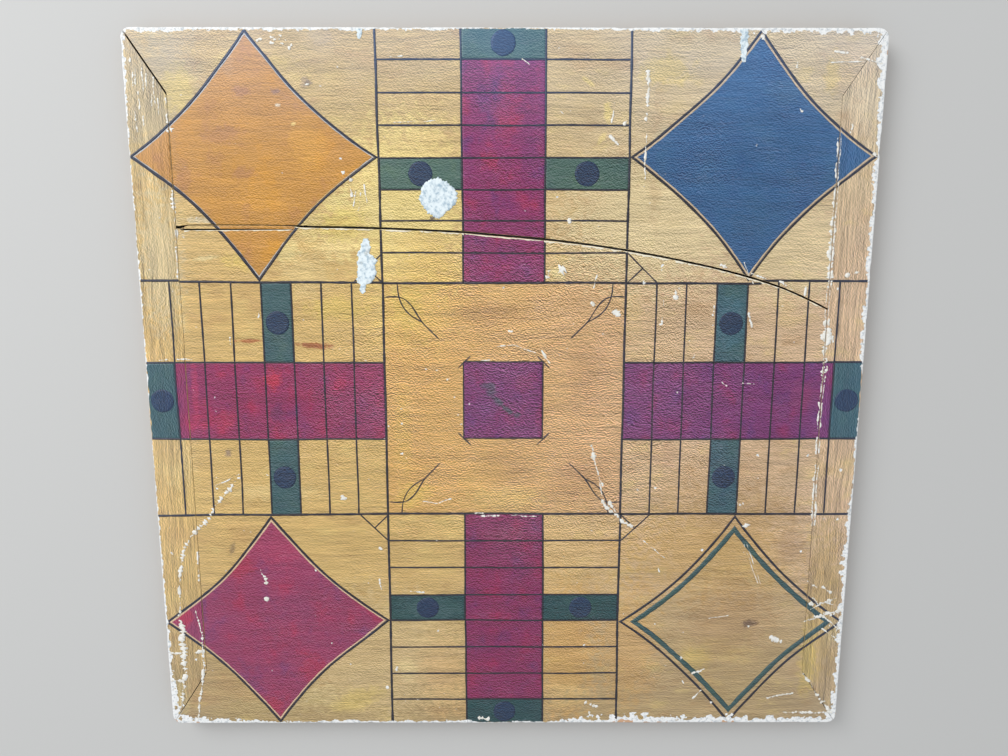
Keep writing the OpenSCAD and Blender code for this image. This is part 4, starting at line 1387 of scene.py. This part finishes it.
leaves, braces, centre_marks = [], [], []
for number, corner in enumerate(nest_places.values()):
    for outline in (leaf_outer, leaf_inner):
        path = near_home(corner, *smooth_path(outline))
        leaves.append(stroke(*path, fine_line, 501 + 10 * number + len(outline), 0.22, 3.0))
    for start, end in [((0, -cell_len), (-cell_len, 0)), ((-0.4, -0.4), (-cell_len / 2, -cell_len / 2))]:
        share = np.linspace(0, 1, 20)
        path = near_home(corner, *[first + share * (last - first) for first, last in zip(start, end)])
        braces.append(stroke(*path, 0.8, 551 + 10 * number, 0.15))
    tip = np.array(corner) * centre_half
    tick = np.array([corner[0], -corner[1]]) * 4.0
    share = np.linspace(-1, 1, 12)
    tick_x, tick_y = tip[0] + share * tick[0] + centre_x, (tip[1] + share * tick[1]) * depth_kept + centre_y
    centre_marks.append(stroke(tick_x, tick_y, 0.8, 571 + number, 0.2, 1.5))
for arm in arms:
    side_x, side_y = ruled(arm, (-centre_half, centre_half), (centre_half, centre_half), 0.85, 581)
    centre_marks.append((side_x + centre_x, side_y + centre_y))
fine_strokes = {"corner_arrows": leaves, "corner_braces": braces, "centre_outline": centre_marks}
for name, strokes in fine_strokes.items():
    fine_work = paint_film(name + "_paint", strokes, line_lift - 0.01, line_coat)
    on_board(fine_work, "ink_paint", name, "ink_" + name, **ink)

# Old damage goes through paint and ink to the white ground coat, in ragged chips and scratches.
# The largest lie by the far arm. Each is a thin ragged film where the ground shows.
bald_lift = 0.23
bald_coat = 0.16
round_patch = [12.1, 11.2, 10.8, 12.2, 11.9, 11.3, 11.2, 10.4, 10.4, 13.0, 9.5, 10.6]
long_patch = [
    (103.1, -87.1, -84.8), (100.4, -88.9, -84), (97.7, -89.4, -83.5), (95, -91.2, -84.4),
    (92.3, -91.2, -81.7), (89.6, -91.2, -79.9), (86.9, -91.6, -80.3), (84.2, -92, -80.8),
    (81.5, -92.5, -80.4), (78.8, -92.5, -81.7), (76.1, -92, -83.5), (74.7, -90.2, -86.6),
    (72.5, -91.1, -87.6), (69.8, -89.8, -87.6), (68.9, -88.9, -88.4),
]
edge_patch = [
    (225.6, 139.4, 144.8), (221.7, 140.2, 144.4), (217, 140.2, 144.9), (212.4, 140.7, 144),
    (208.9, 140.7, 144), (206.6, 142.2, 143),
]
edge_chip = [(225.6, -88.6, -84.6), (222.4, -88.0, -85.0), (219.6, -87.4, -86.2)]
# Each scratch or chip runs between two points, and half its width comes last.
damage = [
    (-37.5, 14.4, -35.1, 14.7, 0.75), (-32.9, 3, -31.9, 3.2, 0.5), (-23.9, -1.2, -22.3, -1.4, 0.6),
    (-44, 21, -42.6, 20.7, 0.5), (-50.9, 21, -49.6, 20.8, 0.5), (-30.6, -8.5, -29.5, -8.8, 0.5),
    (-75.8, -15.8, -74.5, -15.9, 0.5), (179.4, -162.4, 184.2, -165.6, 1.4),
    (163.2, -154.4, 165.4, -155.4, 0.7), (204, -139, 222, -135.4, 0.9), (212, -146, 226, -156, 0.45),
    (204, -150, 214, -146.4, 0.8), (213, -146, 226.5, -143.6, 1), (202, -122, 209, -127, 0.55),
    (212, -126, 219, -131, 0.6), (206, -134, 210, -137, 0.7), (216, -137, 221, -139, 0.55),
    (221.2, -145.4, 222.4, -146, 0.5), (225.4, -147.6, 227.6, -149, 0.9),
    (219, -146.2, 220.4, -147, 0.6), (219, -153.6, 220.4, -154.6, 0.6),
    (154.2, -67.4, 154.9, -69.8, 0.65), (156.2, -67.4, 156.8, -69.2, 0.55),
    (153, -69.6, 152.2, -66.6, 0.3), (-216.5, 206, -216.8, 188, 0.3), (-210.6, 198, -210.2, 182, 0.35),
    (-219.6, 190, -219.8, 179, 0.3), (-223, 214, -223.4, 206, 0.35), (-220.8, 203, -221.2, 193, 0.3),
    (-214.4, 200, -214.6, 190, 0.3), (-222.6, 178, -222.4, 166, 0.35), (-212.2, 188, -212.4, 181, 0.3),
    (-218, 176, -218.2, 169, 0.25), (-208.4, 186, -208.6, 176, 0.25), (204.4, 137.4, 204.3, 126.7, 0.24),
    (204.2, 125.4, 204, 115.2, 0.33), (204, 113.9, 204.1, 84.7, 0.57), (204.3, 83.9, 204.6, 78.7, 0.72),
    (204.6, 77.4, 204.5, 72.7, 0.39), (203.5, 71.4, 203.5, 54.7, 0.12), (204.1, 53.9, 204.7, 48.7, 0.51),
    (204.8, 47.9, 204.8, 36.7, 0.96), (204.1, 35.4, 204.5, 24.7, 0.48), (204.5, 23.4, 204.5, 18.7, 0.69),
    (204.5, 17.4, 204.5, 12.7, 0.39), (204.3, 11.4, 204, 1.7, 0.15), (203.9, -0.6, 203.8, -17.3, 0.24),
    (203.8, -23.6, 203.9, -34.3, 0.33), (204.1, -42.1, 203.4, -52.3, 0.39),
    (203.7, -54.6, 204.1, -65.3, 0.27), (204.1, -66.6, 204.5, -83.3, 0.39),
    (203.9, 163.4, 203.8, 137.7, 0.21), (224.6, 155, 226.4, 152, 1.1), (225.6, -72, 226.4, -74.5, 0.8),
    (202.6, 138, 202.5, 126, 0.36), (202.4, 126, 202.2, 114.5, 0.5), (202.2, 114.5, 202.3, 84, 0.85),
    (202.5, 84.5, 202.8, 78, 1.08), (202.8, 78, 202.7, 72, 0.59), (201.7, 72, 201.7, 54, 0.18),
    (202.3, 54.5, 202.9, 48, 0.77), (203, 48.5, 203, 36, 1.44), (202.3, 36, 202.7, 24, 0.72),
    (202.7, 24, 202.7, 18, 1.03), (202.7, 18, 202.7, 12, 0.59), (202.5, 12, 202.2, 1, 0.23),
    (202.1, 0, 202, -18, 0.36), (202, -23, 202.1, -35, 0.5), (202.3, -41.5, 201.6, -53, 0.59),
    (201.9, -54, 202.3, -66, 0.41), (202.3, -66, 202.7, -84, 0.59), (202.1, 164, 202, 137, 0.32),
    (-203.8, 186.3, -203.6, 171, 0.5), (-203.4, 132.3, -203.6, 120.3, 0.95),
    (-202.8, 120, -202.8, 108, 0.25), (-202.6, 108.3, -202.9, 102.3, 0.5),
    (-203, 102.3, -203.2, 96.3, 0.7), (-203.6, 96.3, -203.7, 78, 0.35),
    (-203.6, -101, -204.1, -122, 0.5), (-197.7, 26.9, -208.5, 27.9, 0.4), (38.2, 85.6, 32.7, 82.5, 2.1),
    (28.7, 83.9, 25.6, 78.4, 1.6), (153.2, 57.6, 156, 47.7, 0.5), (68.4, -66, 73.2, -74.6, 0.7),
    (131.3, 62, 131.4, 55, 0.35), (163.5, 78.4, 153.4, 81.8, 0.4), (180.7, 71.1, 171.2, 76.9, 0.5),
    (188.5, 73.8, 187.7, 66.4, 0.4), (142.4, 10.2, 138.6, 12.9, 0.4), (159.6, 11.4, 151.5, 12.1, 0.25),
    (-218.1, -126.4, -217.3, -130.7, 1.4), (9.8, 208.5, 16, 204.2, 0.35),
    (138.4, 84.8, 133.9, 87.3, 0.6), (-60.9, 210, -69.6, 209.5, 0.3), (210, 171.5, 209.1, 165.4, 0.5),
    (-154.4, 58.9, -154.7, 53.7, 0.4), (207.4, 42.8, 207.4, 37.5, 0.8),
    (220.4, -210.3, 216.6, -211.2, 0.7), (-127.3, 217.1, -129, 213.4, 0.8),
    (-213.8, 27.4, -219.7, 27.4, 0.35), (-53.6, -129.9, -63.5, -129.2, 0.35),
    (-72.9, -183.7, -73.6, -187.2, 0.5), (63, -52.3, 64.4, -56.4, 0.6),
    (-94.5, 139.8, -93.9, 137.2, 0.8), (-222.4, 200.9, -222.9, 192.6, 0.4),
    (-13.7, -74.7, -20, -75, 0.3), (121.8, -194, 122.7, -196.8, 0.6), (214.1, 82.5, 213.8, 79.1, 0.8),
    (221.7, 83.2, 217.8, 81.9, 0.5), (112.7, 6.3, 109.9, 6, 0.5), (-79.1, -199.9, -81.4, -198.5, 0.6),
    (-143.5, 219.2, -148.1, 218.8, 0.6), (5.1, 45, 1.7, 46.1, 0.5), (74.7, 174.6, 71.3, 170.7, 0.6),
    (-9.3, 26.9, -15.4, 27, 0.25), (-173.4, 42, -173.6, 36, 0.35), (-141, 221, -137, 220.6, 0.5),
    (-134.5, 221.4, -132.5, 221, 0.5), (-140, 217.4, -137, 217, 0.5), (-134, 217, -131.5, 216.6, 0.6),
    (-131, 219, -129.6, 217.8, 0.5), (-41.3, 173, -67.6, 172.2, 0.2), (152, 222, 155, 217.5, 0.9),
    (175.4, 208, 174.4, 203, 0.7), (185.4, 189.5, 186, 187, 0.7), (178, 180.5, 179.5, 178, 0.4),
    (85.8, 202.5, 85.6, 172.5, 0.85), (85.5, 166, 85.3, 134, 0.4), (63.3, 165.2, 69.2, 158.8, 0.55),
    (39.6, 115.5, 41.4, 109.5, 1.1), (106.6, 71.5, 107, 65, 0.9), (98.4, 55.5, 98.6, 49, 0.6),
    (117.3, 39.5, 116.8, 39, 1.1), (55.6, 72, 57.2, 81, 0.3), (55.9, -27.5, 58.5, -39, 0.95),
    (58.5, -39, 61.2, -48.9, 0.3), (61.6, -50, 63.6, -63.5, 0.25), (63, -65.5, 68.3, -72.2, 0.75),
    (68.3, -72.2, 84.4, -84.4, 0.7), (91.4, -93.5, 106.4, -106.2, 0.22), (102, -112, 103.5, -116, 0.3),
    (158.4, -81.7, 158.9, -84.8, 1.5), (158.8, -101.6, 159, -102, 1.3), (179, -162.2, 188, -166.3, 1),
    (98, -153.6, 98.6, -154.2, 1.2), (100.5, -152.6, 101.5, -153.4, 0.5),
    (136.8, -149, 151, -146.6, 0.22), (127.5, -189.6, 136.6, -186.3, 0.5),
    (128.4, -208, 135.2, -201.6, 0.4), (179.6, -207.4, 198.4, -203.6, 0.45),
    (191.6, -217.9, 226, -218.6, 0.6), (204, -188.8, 208.6, -195.6, 0.6),
    (209.4, -196.4, 211.8, -200.4, 0.35), (212, -201.4, 215.4, -206, 0.7),
    (216, -207.4, 218.6, -211.4, 0.4), (219, -212, 224.6, -219.4, 0.65),
    (201.6, -151.6, 227.2, -142.3, 0.35), (205.2, -142.3, 222.5, -134.2, 0.3),
    (214, -156, 224, -163, 0.3), (158.4, -96, 169.4, -124, 0.15), (160.4, -96, 171.4, -124.4, 0.13),
    (-172.2, -49.6, -184.9, -63.4, 1), (-184.9, -63.4, -196.1, -79.7, 0.95),
    (-196.1, -79.7, -203.4, -86.6, 1.1), (-203.4, -86.6, -211.4, -97.1, 0.9),
    (-211.4, -97.1, -214.9, -107.6, 0.9), (-214.9, -107.6, -217.3, -124, 0.8),
    (-217.3, -124, -218.3, -145, 0.55), (-218.3, -145, -217.8, -166, 1.2),
    (-217.8, -166, -217.4, -187, 1.35), (-217.4, -187, -220.6, -205, 0.9),
    (-220.6, -205, -224.2, -217, 1.2), (-189.4, -56.5, -172.8, -48, 0.35),
    (-207.6, -142.5, -205.2, -158, 0.35), (-205.2, -158, -204.2, -180, 0.7),
    (-204.2, -180, -206.4, -193.5, 0.6), (-206.4, -193.5, -211.2, -223, 0.6),
    (-211, -173.4, -203.5, -173, 0.8), (-228, -194, -218.6, -194, 0.6), (-228, -173.5, -219, -174, 0.4),
    (-162.6, -113.4, -160, -119.4, 0.7), (-160, -119.4, -159.2, -124.4, 0.9),
    (-159.6, -133, -159.4, -136.5, 0.9), (-127, -113, -125.4, -115, 0.5),
    (-117.6, -166, -117.2, -168, 0.4), (-106.5, -62, -104.8, -65.8, 1.1),
    (-108, -64.6, -103.4, -64.8, 0.5), (-83.6, -98.6, -79.8, -100.6, 0.6),
    (-83.4, -120, -82.4, -128, 0.4), (-118, 194.6, -117.6, 193.4, 1.2),
    (-205.4, 166.4, -200.2, 168.6, 0.9), (-91.4, 132.6, -93.6, 121, 0.35),
    (-88.6, 131, -90.4, 119.6, 0.3), (-86.4, 136, -84.8, 124.6, 0.3), (-95.2, 134, -93.6, 128, 0.5),
    (-100, 143.6, -98.6, 141.4, 0.9), (33, 178.6, 35.4, 176.6, 0.2), (66, 184, 64.6, 171.8, 0.3),
    (212, 209.4, 226, 206, 0.4), (196, 213, 205, 211.8, 0.4), (194.4, 206.6, 224, 207.4, 0.25),
    (216, 93.4, 216.6, 92.8, 0.9), (-5, 35.4, 5, 36.8, 0.3), (5, 36.8, 20, 31.6, 0.25),
    (23, 33.4, 28.6, 24.8, 0.5), (-54, -66.6, -44, -67.6, 0.35), (-44, -67.6, -35, -64.4, 0.3),
    (-132.4, 219.4, -138, 219, 0.35), (67.6, 58.6, 72.4, 54.6, 1.1), (67, 57, 73, 58, 0.3),
    (99.4, 65.4, 99.8, 61.4, 0.35), (55, 64.4, 55.8, 60.8, 0.8), (21, -76.6, 2, -76, 0.35),
    (-1, -76.2, -16, -76.8, 0.45), (54.6, -210.2, 64.4, -214, 0.9), (57.8, -217.2, 60, -221, 0.9),
    (-18.6, -222.4, -10, -223, 0.9), (148.4, 88.6, 156, 74.4, 0.25),
]


def torn_line(x0, y0, x1, y1, half, seed):
    """Scratch or chip along a straight line. Its two edges are ragged on their own, and where both
    noises are low it closes, so that a thin one breaks into dashes."""
    length = np.hypot(x1 - x0, y1 - y0)
    share = np.linspace(0, 1, max(6, int(length / 0.45) + 1))
    run = share * length
    blunt = np.sqrt(np.clip(np.minimum(run, length - run) / max(half, 0.3), 0, 1))
    coarse, torn = waves_along(run, 9, seed), waves_along(run, 1.6, seed + 1)
    edges = []
    for side in (-1, 1):
        fray = 0.8 + 1.0 * coarse + 0.8 * torn + 0.7 * waves_along(run, 2.3, seed + 5 + side)
        edges.append(side * half * blunt * np.clip(fray, 0, 2))
    sway = (0.5 * half + 0.15) * waves_along(run, 10, seed + 9)
    across = (x1 - x0) / length, (y1 - y0) / length
    rows = [edges[0], (edges[0] + edges[1]) / 2, edges[1]]
    x = np.array([x0 + run * across[0] - (row + sway) * across[1] for row in rows])
    y = np.array([y0 + run * across[1] + (row + sway) * across[0] for row in rows])
    return x, y


def torn_strip(outline, seed):
    """Ragged patch given by its left and right edge at some places along Y, filled in between."""
    places, left, right = np.array(outline)[::-1].T
    rows = np.linspace(places[0], places[-1], int((places[-1] - places[0]) / 0.4) + 2)
    edges = []
    for number, edge in enumerate((left, right)):
        fray = 0.75 * waves_along(rows, 4, seed + number) + 0.45 * waves_along(rows, 1.3, seed + 2 + number)
        edges.append(np.interp(rows, places, edge) + 0.7 * fray)
    middle = (edges[0] + edges[1]) / 2
    edges = [np.minimum(edges[0], middle), np.maximum(edges[1], middle)]
    share = np.linspace(0, 1, 9)
    x = edges[0][:, None] + share * (edges[1] - edges[0])[:, None]
    return x, np.repeat(rows[:, None], len(share), 1)


def torn_round(x, y, reaches, seed):
    """Ragged round patch. Its reach at even angles is given, and frays by about half a millimetre."""
    angle, share = np.meshgrid(np.linspace(0, 2 * np.pi, 181), np.linspace(0, 1, 9))
    reach = np.interp(angle, np.linspace(0, 2 * np.pi, len(reaches) + 1), reaches + reaches[:1])
    around = 11 * np.cos(angle), 11 * np.sin(angle)
    reach = reach + 0.55 * waves(*around, 4.5, seed) + 0.45 * waves(*around, 1.5, seed + 1)
    return x + share * reach * np.cos(angle), y + share * reach * np.sin(angle)


def bald_ground(name, light, dark, soil):
    """White ground coat, chalky and a little soiled."""
    material, tree, shader, place = surface(name)
    chalk = mottle(tree, place, 2.4, 4.0, 0.7)
    colour = mixed(tree, ease(tree, chalk, 0.42, 0.68), light, dark)
    soiled = ease(tree, mottle(tree, place, 7.0, 3.0, 0.65), 0.6, 0.8, 0.0, 0.5)
    join_up(tree, shader, mixed(tree, soiled, colour, soil), 0.75, chalk, 0.35)
    return material


def chipped_and_lit_lip(start, end, edge, width, seed):
    """Pale strip along a lip of the split or the crack, where its edge has chipped, and in part a painted
    highlight where the lip catches the light. It lies on the near side of the edge, and its width comes and
    goes between nothing and nearly twice the given one."""
    x = np.arange(start, end, 0.5)
    fray = 0.9 + 0.75 * waves_along(x, 12, seed) + 0.5 * waves_along(x, 3, seed + 1)
    ragged = width * np.clip(fray, 0.05, 1.9)
    rows = edge(x) - 0.1 - np.array([[0], [0.5], [1]]) * ragged
    return np.tile(x, (3, 1)), rows


patches = [
    torn_round(-41.2, 127.3, round_patch, 601),
    torn_strip(long_patch, 611),
    torn_strip(edge_patch, 621),
    torn_strip(edge_chip, 631),
]
marks = [torn_line(*mark, 700 + 11 * number) for number, mark in enumerate(damage)]
lips = [
    chipped_and_lit_lip(-130, -50, near_lip, 0.6, 641),
    chipped_and_lit_lip(-50, -25, near_lip, 0.9, 642),
    chipped_and_lit_lip(-25, 24, near_lip, 0.45, 643),
    chipped_and_lit_lip(24, 114, near_lip, 0.85, 644),
    chipped_and_lit_lip(114, 201, near_lip, 0.6, 645),
    chipped_and_lit_lip(-198, -126, lambda x: crack_top(x) - crack_open(x), 0.5, 647),
]
chalk_tones = tint(240, 251, 255), tint(168, 192, 208), tint(206, 202, 190)
chip_tones = tint(253, 252, 246), tint(228, 222, 206), tint(226, 214, 188)
# The lips' tones are pale chipped ground and, in part, a painted highlight along the split's near lip.
lip_chip_and_highlight_tones = tint(253, 246, 224), tint(242, 228, 198), tint(232, 212, 172)
for name, shapes, tones in [
    ("bald_patches", patches, chalk_tones),
    ("bald_scratches", marks, chip_tones),
    ("bald_and_lit_lips", lips, lip_chip_and_highlight_tones),
]:
    bald_places = paint_film(name, shapes, bald_lift, bald_coat)
    bald_places.data.materials.append(bald_ground(name + "_ground", *tones))
    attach(bald_places, "root")

# The studio is a plain pale floor under a pale world, with one large soft lamp at the far left. The
# camera looks down from in front, where the photograph's did.
floor_half = 3.0
floor_mesh = bpy.data.meshes.new("floor")
floor_corners = [(x * floor_half, y * floor_half, 0) for x, y in ((-1, -1), (1, -1), (1, 1), (-1, 1))]
floor_mesh.from_pydata(floor_corners, [], [(0, 1, 2, 3)])
floor = bpy.data.objects.new("floor", floor_mesh)
bpy.context.scene.collection.objects.link(floor)
floor_paper = bpy.data.materials.new("floor_paper")
floor_paper.use_nodes = True
paper_shader = floor_paper.node_tree.nodes["Principled BSDF"].inputs
paper_shader["Base Color"].default_value = (0.62, 0.62, 0.61, 1)
paper_shader["Roughness"].default_value = 0.9
floor_mesh.materials.append(floor_paper)

world = bpy.data.worlds.new("soft_room")
world.use_nodes = True
world_light = world.node_tree.nodes["Background"].inputs
world_light["Color"].default_value = (0.96, 0.98, 1, 1)
world_light["Strength"].default_value = 0.66
bpy.context.scene.world = world

lamp_place = mathutils.Vector((-0.9, 0.9, 1.1))
lamp = bpy.data.lights.new("key_lamp", "AREA")
lamp.shape = "RECTANGLE"
lamp.size = 0.9
lamp.size_y = 0.9
lamp.energy = 14
key_lamp = bpy.data.objects.new("key_lamp", lamp)
bpy.context.scene.collection.objects.link(key_lamp)
key_lamp.location = lamp_place
key_lamp.rotation_euler = (-lamp_place).to_track_quat("-Z", "Y").to_euler()

camera_data = bpy.data.cameras.new("camera")
camera_data.lens = 27.04
camera_data.sensor_width = 36.0
camera = bpy.data.objects.new("camera", camera_data)
bpy.context.scene.collection.objects.link(camera)
bpy.context.scene.camera = camera
camera.matrix_world = mathutils.Matrix((
    (0.99999, 0.00005, -0.00270, -0.001896),
    (0.0004, 0.98636, 0.16459, 0.095016),
    (0.0027, -0.16460, 0.98636, 0.492621),
    (0, 0, 0, 1),
))
bpy.context.scene.view_settings.view_transform = "Standard"
